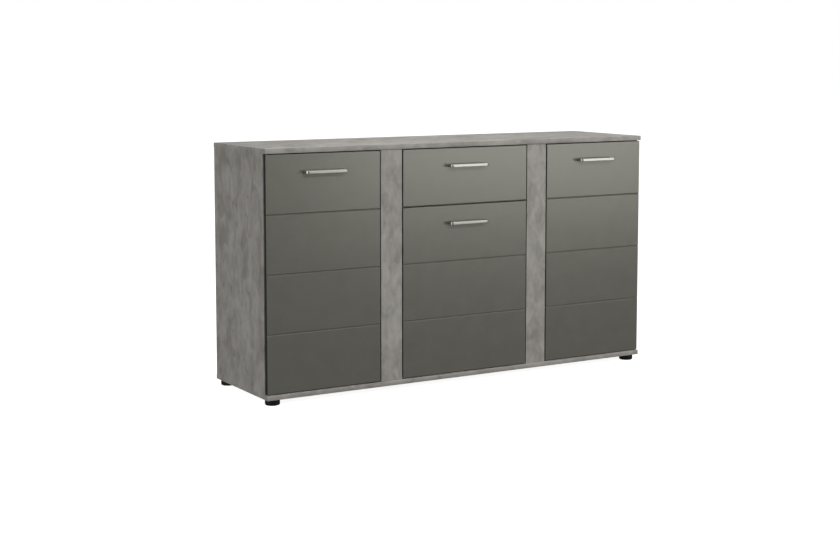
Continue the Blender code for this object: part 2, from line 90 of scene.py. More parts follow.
# %% Helpers: colour and nodes
def linear(hex_colour):
    """An sRGB hex value as linear red, green, blue and alpha."""
    channels = [int(hex_colour[i : i + 2], 16) / 255 for i in (0, 2, 4)]
    curve = [c / 12.92 if c <= 0.04045 else ((c + 0.055) / 1.055) ** 2.4 for c in channels]
    return (*curve, 1.0)


def add_node(tree, kind, sockets=None, **properties):
    """Adds a node; sockets maps an input's name or number to a value, an output or a node."""
    node = tree.nodes.new(kind)
    for name, value in properties.items():
        setattr(node, name, value)
    for key, value in (sockets or {}).items():
        if isinstance(value, bpy.types.Node):
            value = value.outputs[0]
        if isinstance(value, bpy.types.NodeSocket):
            tree.links.new(value, node.inputs[key])
        else:
            node.inputs[key].default_value = value
    return node


def new_material(name):
    """An empty material with a Principled shader wired to its output."""
    material = bpy.data.materials.new(name)
    material.use_nodes = True
    tree = material.node_tree
    tree.nodes.clear()
    shader = add_node(tree, "ShaderNodeBsdfPrincipled")
    add_node(tree, "ShaderNodeOutputMaterial", {"Surface": shader})
    return material, tree, shader


print("linear mid grey:", round(linear("808080")[0], 3))

# %% [markdown]
# **Concrete decor.** The boards are melamine-faced chipboard: a paper printed with a concrete
# pattern, pressed under a matt resin skin. The print has five sizes of detail: clouds wider than a
# hand, patches of a few centimetres, trowel streaks, pores of a few millimetres, and grit. To the
# eye it is a soft, dry grey that never repeats. The streaks follow the board's length, so the
# material is made once for each direction, and the ends of a board carry upright streaks.

# %% The concrete decor
CLOUD_SIZE = 150 * MM
PATCH_SIZE = 42 * MM
STREAK_WIDTH = 9 * MM
GRIT_SIZE = 0.9 * MM
PATCH_STRETCH = 0.62
STREAK_STRETCH = 0.3
PORE_SPACING = 24 * MM
END_FACING = 0.7


def concrete_decor(name, grain_axis, light, middle, dark):
    """Melamine printed as trowelled concrete; its streaks follow the board and run up its ends."""
    material, tree, shader = new_material(name)
    source = add_node(tree, "ShaderNodeTexCoord")
    place = source.outputs["Object"]
    # An end face looks along X. Its streaks stand upright, so that they read on from a side.
    normal = add_node(tree, "ShaderNodeSeparateXYZ", {0: source.outputs["Normal"]})
    sideways = add_node(tree, "ShaderNodeMath", {0: normal}, operation="ABSOLUTE")
    is_end = add_node(
        tree, "ShaderNodeMath", {0: sideways, 1: END_FACING}, operation="GREATER_THAN"
    )
    stretched = {}
    for layer, squeeze in (("patches", PATCH_STRETCH), ("streaks", STREAK_STRETCH)):
        along = [squeeze if axis == grain_axis else 1.0 for axis in range(3)]
        sockets = {0: is_end, 4: along, 5: (1.0, 1.0, squeeze)}
        scales = add_node(tree, "ShaderNodeMix", sockets, data_type="VECTOR")
        sockets = {"Vector": place, "Scale": scales.outputs[1]}
        stretched[layer] = add_node(tree, "ShaderNodeMapping", sockets)
    # Each layer: its place and size, how broken and how twisted it is, and its share of the tone.
    layers = {
        "clouds": (place, CLOUD_SIZE, 4.0, 0.55, 0.8, (0.3, 0.7), 0.26),
        "patches": (stretched["patches"], PATCH_SIZE, 2.5, 0.5, 0.9, (0.34, 0.66), 0.48),
        "streaks": (stretched["streaks"], STREAK_WIDTH, 2.0, 0.5, 0.6, (0.3, 0.7), 0.20),
        "grit": (place, GRIT_SIZE, 2.0, 0.6, 0.0, (0.3, 0.7), 0.06),
    }
    noises, parts = {}, {}
    for layer, (where, size, detail, broken, twist, (low, high), share) in layers.items():
        sockets = {"Vector": where, "Scale": 1 / size, "Detail": detail}
        sockets |= {"Roughness": broken, "Distortion": twist}
        noises[layer] = add_node(tree, "ShaderNodeTexNoise", sockets)
        sockets = {0: noises[layer], 1: low, 2: high, 3: 0.0, 4: share}
        parts[layer] = add_node(tree, "ShaderNodeMapRange", sockets)
    tone = parts["clouds"]
    for layer in ("patches", "streaks", "grit"):
        tone = add_node(tree, "ShaderNodeMath", {0: tone, 1: parts[layer]}, operation="ADD")
    ramp = add_node(tree, "ShaderNodeValToRGB", {"Fac": tone})
    ramp.color_ramp.elements[0].position = 0.15
    ramp.color_ramp.elements[0].color = linear(dark)
    ramp.color_ramp.elements[1].position = 0.85
    ramp.color_ramp.elements[1].color = linear(light)
    ramp.color_ramp.elements.new(0.5).color = linear(middle)
    # Pores: about one cell in three holds a dark speck, and each speck has its own size.
    sockets = {"Vector": stretched["patches"], "Scale": 1 / PORE_SPACING}
    cells = add_node(tree, "ShaderNodeTexVoronoi", sockets)
    pick = add_node(tree, "ShaderNodeSeparateColor", {0: cells.outputs["Color"]})
    sockets = {0: pick.outputs[1], 3: 0.06, 4: 0.22}
    rim = add_node(tree, "ShaderNodeMapRange", sockets)
    sockets = {0: cells.outputs["Distance"], 1: rim}
    nearness = add_node(tree, "ShaderNodeMath", sockets, operation="DIVIDE")
    dot = add_node(tree, "ShaderNodeMapRange", {0: nearness, 1: 0.3, 2: 1.0, 3: 1.0, 4: 0.0})
    chosen = add_node(tree, "ShaderNodeMapRange", {0: pick, 1: 0.66, 2: 0.78, 3: 0.0, 4: 0.42})
    pores = add_node(tree, "ShaderNodeMath", {0: dot, 1: chosen}, operation="MULTIPLY")
    sockets = {0: pores, 6: ramp.outputs["Color"], 7: linear("5c5a56")}
    colour = add_node(tree, "ShaderNodeMix", sockets, data_type="RGBA", blend_type="MULTIPLY")
    tree.links.new(colour.outputs[2], shader.inputs["Base Color"])
    sockets = {0: noises["patches"], 1: 0.3, 2: 0.7, 3: 0.40, 4: 0.50}
    gloss = add_node(tree, "ShaderNodeMapRange", sockets)
    tree.links.new(gloss.outputs[0], shader.inputs["Roughness"])
    relief = add_node(tree, "ShaderNodeMath", {0: parts["grit"], 1: pores}, operation="SUBTRACT")
    sockets = {"Strength": 0.25, "Distance": 0.1 * MM, "Height": relief}
    bump = add_node(tree, "ShaderNodeBump", sockets)
    tree.links.new(bump.outputs[0], shader.inputs["Normal"])
    return material


UPRIGHT_DECOR = concrete_decor("melamine_concrete_upright", 2, "bebbb5", "aeaaa4", "97938d")
LEVEL_DECOR = concrete_decor("melamine_concrete_level", 0, "bebbb5", "aeaaa4", "97938d")
print("decor materials:", UPRIGHT_DECOR.name, LEVEL_DECOR.name)

# %% [markdown]
# ** Graphite foil.** The doors and the drawer front are fibreboard under a satin film with a little
# metal pigment in it. The pigment is what lets the fronts glow where they mirror a light and turn
# dark below. The film has hardly any pattern of its own: a faint mottling as it was pressed, and a
# very slight orange peel. Round the edges and behind, its colour is painted a plain dark grey: that
# is painted shade, for the edges that sit in the shadowed gaps between the fronts.

# %% The graphite foil
PEEL_SIZE = 2.2 * MM
MOTTLE_SIZE = 60 * MM
# Real pigment flecks are about a tenth as wide, too fine to show.
FLECK_SIZE = 0.8 * MM
# Depths behind the face over which the painted shade on the edges and back fades in.
FACE_SKIN = (3.2 * MM, 4.2 * MM)
EDGE_DULLNESS = 0.2


def graphite_foil():
    """Satin metallic film on fibreboard, with shade painted dark on its edges and back."""
    material, tree, shader = new_material("graphite_metallic_foil")
    place = add_node(tree, "ShaderNodeTexCoord").outputs["Object"]
    # Size, detail, breaking and twisting of the mottling, the flecks and the orange peel.
    textures = {
        "mottle": (MOTTLE_SIZE, 3.0, 0.5, 0.4),
        "fleck": (FLECK_SIZE, 1.0, 0.5, 0.0),
        "peel": (PEEL_SIZE, 1.0, 0.4, 0.0),
    }
    noises = {}
    for texture, (size, detail, broken, twist) in textures.items():
        sockets = {"Vector": place, "Scale": 1 / size, "Detail": detail}
        sockets |= {"Roughness": broken, "Distortion": twist}
        noises[texture] = add_node(tree, "ShaderNodeTexNoise", sockets)
    mottled = add_node(tree, "ShaderNodeMapRange", {0: noises["mottle"], 1: 0.3, 2: 0.7})
    sockets = {0: noises["fleck"], 1: 0.35, 2: 0.65, 3: 0.0, 4: 0.25}
    flecked = add_node(tree, "ShaderNodeMapRange", sockets)
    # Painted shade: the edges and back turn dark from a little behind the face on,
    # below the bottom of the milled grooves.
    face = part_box("door_left")[0].y
    depth = add_node(tree, "ShaderNodeSeparateXYZ", {0: place}).outputs[1]
    sockets = {0: depth, 1: face + FACE_SKIN[0], 2: face + FACE_SKIN[1]}
    painted_edge_shade = add_node(tree, "ShaderNodeMapRange", sockets)
    colour = linear("7a7970")
    # The last tint is painted shade, darkening the edges and back.
    for amount, tint in ((mottled, "7e7d74"), (flecked, "84837a"), (painted_edge_shade, "35342f")):
        sockets = {0: amount, 6: colour, 7: linear(tint)}
        colour = add_node(tree, "ShaderNodeMix", sockets, data_type="RGBA").outputs[2]
    tree.links.new(colour, shader.inputs["Base Color"])
    # The face is satin, and the edges and back behind it are duller by a fixed amount.
    sockets = {0: noises["mottle"], 1: 0.3, 2: 0.7, 3: 0.28, 4: 0.30}
    satin = add_node(tree, "ShaderNodeMapRange", sockets)
    dull = add_node(tree, "ShaderNodeMath", {0: painted_edge_shade, 1: EDGE_DULLNESS}, operation="MULTIPLY")
    gloss = add_node(tree, "ShaderNodeMath", {0: satin, 1: dull}, operation="ADD")
    tree.links.new(gloss.outputs[0], shader.inputs["Roughness"])
    shader.inputs["Metallic"].default_value = 0.3
    sockets = {"Strength": 0.1, "Distance": 0.05 * MM, "Height": noises["peel"]}
    bump = add_node(tree, "ShaderNodeBump", sockets)
    tree.links.new(bump.outputs[0], shader.inputs["Normal"])
    return material


GRAPHITE = graphite_foil()
print("foil material:", GRAPHITE.name)

# %% [markdown]
# **Metals, plastic and plain boards.** These finishes differ only in their numbers: two close
# colours and a range of roughness follow a noise of the real size, and a bump gives it relief. So
# one recipe makes them all. What tells them apart is the grain: lines along a brushed handle,
# blotches on plated steel, a fine even grain on moulded plastic, and a pearl on melamine.


# %% Metals, plastic and plain boards
def fine_finish(name, colours, gloss, grain, relief, metallic=0.0, along=1.0, haze=None):
    """Colour and roughness that follow a fine grain; a haze, if any, carries the colour instead."""
    material, tree, shader = new_material(name)
    place = add_node(tree, "ShaderNodeTexCoord").outputs["Object"]
    # Below 1, along draws the grain out into lines that run level, along X.
    placed = add_node(tree, "ShaderNodeMapping", {"Vector": place, "Scale": (along, 1.0, 1.0)})
    noises = []
    for size, detail, broken, twist in [grain] + ([haze] if haze else []):
        sockets = {"Vector": placed, "Scale": 1 / size, "Detail": detail}
        sockets |= {"Roughness": broken, "Distortion": twist}
        noises.append(add_node(tree, "ShaderNodeTexNoise", sockets))
    amount = add_node(tree, "ShaderNodeMapRange", {0: noises[-1], 1: 0.3, 2: 0.7})
    sockets = {0: amount, 6: linear(colours[0]), 7: linear(colours[1])}
    base = add_node(tree, "ShaderNodeMix", sockets, data_type="RGBA")
    tree.links.new(base.outputs[2], shader.inputs["Base Color"])
    sockets = {0: noises[0], 1: 0.3, 2: 0.7, 3: gloss[0], 4: gloss[1]}
    spread = add_node(tree, "ShaderNodeMapRange", sockets)
    tree.links.new(spread.outputs[0], shader.inputs["Roughness"])
    shader.inputs["Metallic"].default_value = metallic
    if relief:
        sockets = {"Strength": relief[0], "Distance": relief[1], "Height": noises[0]}
        bump = add_node(tree, "ShaderNodeBump", sockets)
        tree.links.new(bump.outputs[0], shader.inputs["Normal"])
    return material


# Each grain is its size, its detail, how broken it is and how twisted; each relief is a strength
# and a depth. The handles are nickel-plated castings, brushed along: their glints spread upwards.
# Real brush lines are about a fifth of the width drawn here, which would be too fine to show.
SATIN_NICKEL = fine_finish(
    "satin_brushed_nickel",
    ("b9b7ae", "c6c4bb"),
    (0.29, 0.41),
    (0.35 * MM, 2.0, 0.6, 0.0),
    (0.2, 0.02 * MM),
    metallic=1.0,
    along=0.02,
)
# The hinges are nickel-plated sheet steel, warm and fairly bright.
NICKEL = fine_finish(
    "nickel_plated_steel", ("bab7b0", "cbc8c0"), (0.22, 0.36), (4 * MM, 4.0, 0.6, 0.3), None, 1.0
)
# The runners and screws are zinc-plated: bluer, duller and blotchier.
ZINC = fine_finish(
    "zinc_plated_steel", ("b4b6b8", "c8cacc"), (0.32, 0.46), (9 * MM, 4.0, 0.6, 0.3), None, 1.0
)
# The feet are moulded polypropylene with a spark-eroded grain: black, with a soft dull sheen. The
# grain is drawn some three times too coarse, so that it shows.
BLACK_PLASTIC = fine_finish(
    "black_polypropylene",
    ("0b0b0b", "131313"),
    (0.34, 0.44),
    (0.5 * MM, 2.0, 0.6, 0.0),
    (0.3, 0.04 * MM),
)
# Inside, the boards are plain melamine: a pale grey with a pearl texture that kills the gloss.
PEARL = {
    "gloss": (0.46, 0.58),
    "grain": (0.7 * MM, 2.0, 0.5, 0.0),
    "relief": (0.2, 0.05 * MM),
    "haze": (90 * MM, 2.0, 0.5, 0.0),
}
INSIDE_GREY = fine_finish("melamine_pearl_grey", ("b6b4ae", "aeaca6"), **PEARL)
DRAWER_GREY = fine_finish("foil_wrapped_drawer_board", ("a5a49f", "9c9b96"), **PEARL)
print("fittings:", SATIN_NICKEL.name, NICKEL.name, ZINC.name, BLACK_PLASTIC.name)

# %% [markdown]
# **Hardboard.** The back panels and the drawer's floor are 3 mm hardboard: printed grey on the face
# that shows inside, bare brown fibre on the other. One material does both, by the direction that
# each face looks.

# %% Hardboard, and a finish for every solid
FIBRE_SIZE = 1.6 * MM
BLOTCH_SIZE = 45 * MM


def printed_hardboard(name, bare_axis, bare_side):
    """Hardboard, printed grey on one face and bare brown fibre on the other."""
    material, tree, shader = new_material(name)
    source = add_node(tree, "ShaderNodeTexCoord")
    place = source.outputs["Object"]
    sockets = {"Vector": place, "Scale": 1 / FIBRE_SIZE, "Detail": 4.0}
    sockets |= {"Roughness": 0.65, "Distortion": 1.2}
    fibres = add_node(tree, "ShaderNodeTexNoise", sockets)
    sockets = {"Vector": place, "Scale": 1 / BLOTCH_SIZE, "Detail": 3.0, "Roughness": 0.55}
    blotches = add_node(tree, "ShaderNodeTexNoise", sockets)
    fibrous = add_node(tree, "ShaderNodeMapRange", {0: fibres, 1: 0.3, 2: 0.7, 3: 0.0, 4: 0.6})
    blotched = add_node(tree, "ShaderNodeMapRange", {0: blotches, 1: 0.3, 2: 0.7, 3: 0.0, 4: 0.35})
    sockets = {0: fibrous, 6: linear("8d6f50"), 7: linear("6f543a")}
    bare = add_node(tree, "ShaderNodeMix", sockets, data_type="RGBA")
    sockets = {0: blotched, 6: bare.outputs[2], 7: linear("7c5f43")}
    bare = add_node(tree, "ShaderNodeMix", sockets, data_type="RGBA")
    sockets = {0: blotched, 6: linear("b4b2ad"), 7: linear("a9a7a2")}
    printed = add_node(tree, "ShaderNodeMix", sockets, data_type="RGBA")
    facing = add_node(tree, "ShaderNodeSeparateXYZ", {0: source.outputs["Normal"]})
    sockets = {0: facing.outputs[bare_axis], 1: float(bare_side)}
    towards = add_node(tree, "ShaderNodeMath", sockets, operation="MULTIPLY")
    is_bare = add_node(tree, "ShaderNodeMath", {0: towards, 1: 0.5}, operation="GREATER_THAN")
    sockets = {0: is_bare, 6: printed.outputs[2], 7: bare.outputs[2]}
    base = add_node(tree, "ShaderNodeMix", sockets, data_type="RGBA")
    tree.links.new(base.outputs[2], shader.inputs["Base Color"])
    spread = add_node(tree, "ShaderNodeMapRange", {0: fibres, 1: 0.3, 2: 0.7, 3: 0.62, 4: 0.78})
    tree.links.new(spread.outputs[0], shader.inputs["Roughness"])
    sockets = {"Strength": 0.3, "Distance": 0.06 * MM, "Height": fibres}
    bump = add_node(tree, "ShaderNodeBump", sockets)
    tree.links.new(bump.outputs[0], shader.inputs["Normal"])
    return material


BACK_HARDBOARD = printed_hardboard("hardboard_back", 1, 1)
FLOOR_HARDBOARD = printed_hardboard("hardboard_floor", 2, -1)
# The first start of a name that fits gives a solid's finish.
FINISHES = {
    "top_board": LEVEL_DECOR,
    "bottom_board": LEVEL_DECOR,
    "side_panel": UPRIGHT_DECOR,
    "pilaster": UPRIGHT_DECOR,
    "back_panel": BACK_HARDBOARD,
    "drawer_floor": FLOOR_HARDBOARD,
    "drawer": DRAWER_GREY,
    "door": GRAPHITE,
    "handle": SATIN_NICKEL,
    "hinge": NICKEL,
    "runner": ZINC,
    "foot": BLACK_PLASTIC,
}
for name, solid in nodes.items():
    fitting = [finish for start, finish in FINISHES.items() if name.startswith(start)]
    for material_slot in solid.material_slots:
        material_slot.material = (fitting + [INSIDE_GREY])[0]
print("finished solids:", len(nodes))

# %% [markdown]
# **Growing pieces with Geometry Nodes.** Whatever repeats or follows a rule is grown by a small
# tree: grooves, bores, pin holes, screws, pins, balls, nails. Three helpers do the housework. One
# starts a tree with named inputs, one ends it, and one runs it on a mesh and keeps the result.


# %% Helpers: geometry trees
def start_tree(name, lengths=(), counts=()):
    """A Geometry Nodes tree with a geometry input, named sizes, counts and a material."""
    tree = bpy.data.node_groups.new(name, "GeometryNodeTree")
    tree.interface.new_socket("Geometry", in_out="OUTPUT", socket_type="NodeSocketGeometry")
    kinds = [("Geometry", "NodeSocketGeometry"), ("Material", "NodeSocketMaterial")]
    kinds += [(length, "NodeSocketFloat") for length in lengths]
    kinds += [(count, "NodeSocketInt") for count in counts]
    for socket_name, kind in kinds:
        tree.interface.new_socket(socket_name, in_out="INPUT", socket_type=kind)
    return tree, add_node(tree, "NodeGroupInput").outputs


def end_tree(tree, inputs, geometry):
    """Smooth shading, real copies, the material, and out."""
    smooth = add_node(tree, "GeometryNodeSetShadeSmooth", {"Geometry": geometry})
    real = add_node(tree, "GeometryNodeRealizeInstances", {"Geometry": smooth})
    sockets = {"Geometry": real, "Material": inputs["Material"]}
    painted = add_node(tree, "GeometryNodeSetMaterial", sockets)
    add_node(tree, "NodeGroupOutput", {0: painted})
    return tree


def grow(name, tree, values, mesh, body, rounding=0.0):
    """Runs a tree on a mesh, keeps the plain result as one piece, and lets it ride on a body."""
    piece = bpy.data.objects.new(name, mesh)
    bpy.context.scene.collection.objects.link(piece)
    modifier = piece.modifiers.new("nodes", "NODES")
    modifier.node_group = tree
    for socket in tree.interface.items_tree:
        if socket.in_out == "INPUT" and socket.name in values:
            modifier[socket.identifier] = values[socket.name]
    if rounding:
        bevel = piece.modifiers.new("rounding", "BEVEL")
        bevel.width = rounding
        bevel.segments = 2
        bevel.limit_method = "ANGLE"
        bevel.angle_limit = math.radians(40)
        bevel.use_clamp_overlap = False
    normals = piece.modifiers.new("normals", "WEIGHTED_NORMAL")
    normals.keep_sharp = True
    graph = bpy.context.evaluated_depsgraph_get()
    grown = bpy.data.meshes.new_from_object(piece.evaluated_get(graph))
    # A Boolean can leave an empty material slot before the painted one.
    grown.materials.clear()
    grown.materials.append(values["Material"])
    piece.modifiers.clear()
    piece.data = grown
    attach(piece, body)
    return piece


print("tree helpers ready")

# %% [markdown]
# **The fronts.** Each front starts as a board whose face edges are rounded over. A V-shaped cutter
# mills the level grooves, which sit on the same lines across all the doors, and a drill bores the
# seats of the hinge cups from behind. In the tree, the cutters are copies on two mesh lines, and a
# Boolean takes them all away at once.

# %% The milled fronts
FACE_ROUND = 1.6 * MM
FACE_ROUND_STEPS = 4
BACK_ROUND = 0.4 * MM
GROOVE_WIDTH = 6 * MM
GROOVE_DEPTH = 3 * MM
BORE_DEPTH = 12 * MM
BORE_RADIUS = 17.5 * MM
BORE_SIDES = 48
SECTIONS = 4
OVERCUT = 5 * MM


def milling_tree():
    """Level V-grooves across the face and round bores from behind."""
    lengths = ["Face Y", "Back Y", "First Groove", "Groove Step", "Groove Width", "Groove Depth"]
    lengths += ["Groove Length", "Bore X", "First Bore", "Bore Step", "Bore Radius", "Bore Depth"]
    tree, inputs = start_tree("milled_front", lengths, ["Grooves", "Bores"])
    quarter_turn = math.radians(90)
    square = add_node(tree, "GeometryNodeMeshCube", {"Size": (1.0, 1.0, 1.0)})
    sockets = {"Geometry": square, "Rotation": (quarter_turn / 2, 0.0, 0.0)}
    on_edge = add_node(tree, "GeometryNodeTransform", sockets)
    # Stood on its edge, a unit square is 1.4142 across, and reaches 0.7071 from its middle.
    sockets = {0: inputs["Groove Depth"], 1: math.sqrt(2)}
    deep = add_node(tree, "ShaderNodeMath", sockets, operation="MULTIPLY")
    sockets = {0: inputs["Groove Width"], 1: math.sqrt(0.5)}
    wide = add_node(tree, "ShaderNodeMath", sockets, operation="MULTIPLY")
    scale = add_node(tree, "ShaderNodeCombineXYZ", {0: inputs["Groove Length"], 1: deep, 2: wide})
    cutter = add_node(tree, "GeometryNodeTransform", {"Geometry": on_edge, "Scale": scale})
    first = add_node(tree, "ShaderNodeCombineXYZ", {1: inputs["Face Y"], 2: inputs["First Groove"]})
    step = add_node(tree, "ShaderNodeCombineXYZ", {2: inputs["Groove Step"]})
    sockets = {"Count": inputs["Grooves"], "Start Location": first, "Offset": step}
    groove_line = add_node(tree, "GeometryNodeMeshLine", sockets)
    sockets = {"Points": groove_line, "Instance": cutter}
    grooves = add_node(tree, "GeometryNodeInstanceOnPoints", sockets)
    sockets = {0: inputs["Bore Depth"], 1: 2.0}
    through = add_node(tree, "ShaderNodeMath", sockets, operation="MULTIPLY")
    sockets = {"Vertices": BORE_SIDES, "Radius": inputs["Bore Radius"], "Depth": through}
    drill = add_node(tree, "GeometryNodeMeshCylinder", sockets)
    sockets = {0: inputs["Bore X"], 1: inputs["Back Y"], 2: inputs["First Bore"]}
    first = add_node(tree, "ShaderNodeCombineXYZ", sockets)
    step = add_node(tree, "ShaderNodeCombineXYZ", {2: inputs["Bore Step"]})
    sockets = {"Count": inputs["Bores"], "Start Location": first, "Offset": step}
    bore_line = add_node(tree, "GeometryNodeMeshLine", sockets)
    sockets = {"Points": bore_line, "Instance": drill, "Rotation": (quarter_turn, 0.0, 0.0)}
    bores = add_node(tree, "GeometryNodeInstanceOnPoints", sockets)
    cutters = add_node(tree, "GeometryNodeJoinGeometry")
    for copies in (grooves, bores):
        tree.links.new(copies.outputs[0], cutters.inputs[0])
    real = add_node(tree, "GeometryNodeRealizeInstances", {"Geometry": cutters})
    sockets = {"Mesh 1": inputs["Geometry"], "Mesh 2": real}
    cut = add_node(tree, "GeometryNodeMeshBoolean", sockets, operation="DIFFERENCE")
    return end_tree(tree, inputs, cut)


def rounded_slab(name, low, high, radius, segments, is_rounded):
    """A box whose chosen edges are rounded over."""
    shape = bmesh.new()
    bmesh.ops.create_cube(shape, size=1.0)
    for vertex in shape.verts:
        share = vertex.co + Vector((0.5, 0.5, 0.5))
        vertex.co = Vector(low[i] + share[i] * (high[i] - low[i]) for i in range(3))
    chosen = [edge for edge in shape.edges if is_rounded(edge)]
    bmesh.ops.bevel(
        shape, geom=chosen, offset=radius, segments=segments, profile=0.5, affect="EDGES"
    )
    mesh = bpy.data.meshes.new(name)
    shape.to_mesh(mesh)
    shape.free()
    return mesh


MILLING = milling_tree()
outer_low, outer_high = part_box("door_left")
SECTION_HEIGHT = (outer_high.z - outer_low.z) / SECTIONS


def make_front(piece_name, node, body, hinges=()):
    """A front in the place of its solid, with bores where its hinge cups sit."""
    low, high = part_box(node)
    middle = (low + high) / 2
    slab = rounded_slab(
        piece_name,
        low,
        high,
        FACE_ROUND,
        FACE_ROUND_STEPS,
        lambda edge: all(vertex.co.y < middle.y for vertex in edge.verts),
    )
    # Shared lines: every groove lies a whole number of sections above the doors' foot.
    levels = [outer_low.z + SECTION_HEIGHT * k for k in range(1, SECTIONS)]
    inside = [level for level in levels if low.z + OVERCUT < level < high.z - OVERCUT]
    cups = [sum(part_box(hinge), Vector()) / 2 for hinge in hinges]
    # The slab is shifted to its own middle, so that the cutters are centred on it, and back.
    slab.transform(Matrix.Translation((-middle.x, 0, 0)))
    values = {
        "Material": GRAPHITE,
        "Face Y": low.y,
        "Back Y": high.y,
        "First Groove": inside[0] if inside else 0.0,
        "Groove Step": SECTION_HEIGHT,
        "Groove Width": GROOVE_WIDTH,
        "Groove Depth": GROOVE_DEPTH,
        "Groove Length": high.x - low.x + OVERCUT,
        "Grooves": len(inside),
        "Bores": len(cups),
        "Bore X": cups[0].x - middle.x if cups else 0.0,
        "First Bore": cups[0].z if cups else 0.0,
        "Bore Step": cups[1].z - cups[0].z if cups else 0.0,
        "Bore Radius": BORE_RADIUS,
        "Bore Depth": BORE_DEPTH,
    }
    piece = grow(piece_name, MILLING, values, slab, body, BACK_ROUND)
    piece.data.transform(Matrix.Translation((middle.x, 0, 0)))
    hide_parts(node)
    print(piece_name, "grooves", len(inside), "bores", len(cups), "faces", len(piece.data.polygons))


for side in ("left", "centre", "right"):
    seats = [f"hinge_cup_{side}_{height}" for height in ("lower", "upper")]
    make_front(f"{side}_door_panel", f"door_{side}", f"{side}_door", seats)
make_front("drawer_front_panel", "drawer_front", "drawer")

# %% [markdown]
# **The handles.** Each is a flat bar with both ends bent back to the front, cast in one piece and
# brushed. The tree takes the bend line as a polyline, rounds its corners, and sweeps a small
# rounded rectangle along it.

# %% The bow handles
BAR_THICKNESS = 5 * MM
BAR_EDGE = 1.2 * MM
BEND_RADIUS = 6 * MM
BEND_STEPS = 7
EDGE_STEPS = 4


def handle_tree():
    """A rounded bar swept along a bent line."""
    lengths = ["Bar Height", "Bar Thickness", "Edge Radius", "Bend Radius"]
    tree, inputs = start_tree("bent_bar", lengths)
    line = add_node(tree, "GeometryNodeMeshToCurve", {"Mesh": inputs["Geometry"]})
    sockets = {"Curve": line, "Count": BEND_STEPS, "Radius": inputs["Bend Radius"]}
    sockets["Limit Radius"] = True
    bent = add_node(tree, "GeometryNodeFilletCurve", sockets, mode="POLY")
    level = add_node(tree, "GeometryNodeSetCurveNormal", {"Curve": bent}, mode="Z_UP")
    sockets = {"Width": inputs["Bar Thickness"], "Height": inputs["Bar Height"]}
    section = add_node(tree, "GeometryNodeCurvePrimitiveQuadrilateral", sockets)
    sockets = {"Curve": section, "Count": EDGE_STEPS, "Radius": inputs["Edge Radius"]}
    sockets["Limit Radius"] = True
    eased = add_node(tree, "GeometryNodeFilletCurve", sockets, mode="POLY")
    sockets = {"Curve": level, "Profile Curve": eased, "Fill Caps": True}
    swept = add_node(tree, "GeometryNodeCurveToMesh", sockets)
    return end_tree(tree, inputs, swept)


HANDLES = {
    "handle_left_door": "left_door",
    "handle_centre_door": "centre_door",
    "handle_right_door": "right_door",
    "handle_drawer": "drawer",
}
BENT_BAR = handle_tree()
for node, body in HANDLES.items():
    low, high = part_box(node)
    level = (low.z + high.z) / 2
    bar_line = low.y + BAR_THICKNESS / 2
    ends = (low.x + BAR_THICKNESS / 2, high.x - BAR_THICKNESS / 2)
    corners = [(ends[0], high.y), (ends[0], bar_line), (ends[1], bar_line), (ends[1], high.y)]
    bend_line = bpy.data.meshes.new(node)
    bend_line.from_pydata([(x, y, level) for x, y in corners], [(0, 1), (1, 2), (2, 3)], [])
    values = {
        "Material": SATIN_NICKEL,
        "Bar Height": high.z - low.z,
        "Bar Thickness": BAR_THICKNESS,
        "Edge Radius": BAR_EDGE,
        "Bend Radius": BEND_RADIUS,
    }
    name = node.replace("handle_", "bow_") + "_handle"
    piece = grow(name, BENT_BAR, values, bend_line, body)
    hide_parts(node)
    size = Vector(piece.dimensions) * 1000
    print(piece.name, [round(s, 2) for s in size], "mm")

# %% [markdown]
# **The shell boards.** The side panels and dividers are drilled with rows of 5 mm holes, 32 mm
# apart, for the shelf pins. The shell's outer boards butt so closely that their printed faces read
# as one, so their meeting ends are left sharp and only the free edges are eased. The holes are one
# Boolean: the tree stands a small drill on every point of a mesh, along the point's own direction.

# %% Shell boards with rows of holes
PIN_RADIUS = 2.5 * MM
HOLE_DEPTH = 10 * MM
HOLE_SIDES = 12
HOLE_STEP = 32 * MM
ROW_INSET = 37 * MM
HOLES_EACH_WAY = 2
EDGE_EASE = 0.5 * MM
EASE_STEPS = 2
BUTT_GAP = 0.02 * MM
JOINT_GAP = 0.3 * MM


def at_points(tree, mesh, shape):
    """A copy of the shape on each point of the mesh, its Z axis along the point's facing."""
    facing = add_node(
        tree, "GeometryNodeInputNamedAttribute", {"Name": "facing"}, data_type="FLOAT_VECTOR"
    )
    turn = add_node(tree, "FunctionNodeAlignRotationToVector", {"Vector": facing}, axis="Z")
    points = add_node(tree, "GeometryNodeMeshToPoints", {"Mesh": mesh})
    sockets = {"Points": points, "Instance": shape, "Rotation": turn}
    placed = add_node(tree, "GeometryNodeInstanceOnPoints", sockets)
    return add_node(tree, "GeometryNodeRealizeInstances", {"Geometry": placed})


def drilling_tree():
    """Blind holes at the loose points of a mesh; the rest of the mesh is the board."""
    tree, inputs = start_tree("drilled_board", ["Hole Radius", "Hole Depth"])
    near = add_node(tree, "GeometryNodeInputMeshVertexNeighbors")
    sockets = {2: near.outputs["Face Count"], 3: 0}
    loose = add_node(tree, "FunctionNodeCompare", sockets, data_type="INT", operation="EQUAL")
    sockets = {"Geometry": inputs["Geometry"], "Selection": loose}
    parts = add_node(tree, "GeometryNodeSeparateGeometry", sockets)
    sockets = {0: inputs["Hole Depth"], 1: 2.0}
    through = add_node(tree, "ShaderNodeMath", sockets, operation="MULTIPLY")
    sockets = {"Vertices": HOLE_SIDES, "Radius": inputs["Hole Radius"], "Depth": through}
    drill = add_node(tree, "GeometryNodeMeshCylinder", sockets)
    drills = at_points(tree, parts.outputs["Selection"], drill)
    sockets = {"Mesh 1": parts.outputs["Inverted"], "Mesh 2": drills}
    cut = add_node(tree, "GeometryNodeMeshBoolean", sockets, operation="DIFFERENCE")
    return end_tree(tree, inputs, cut)


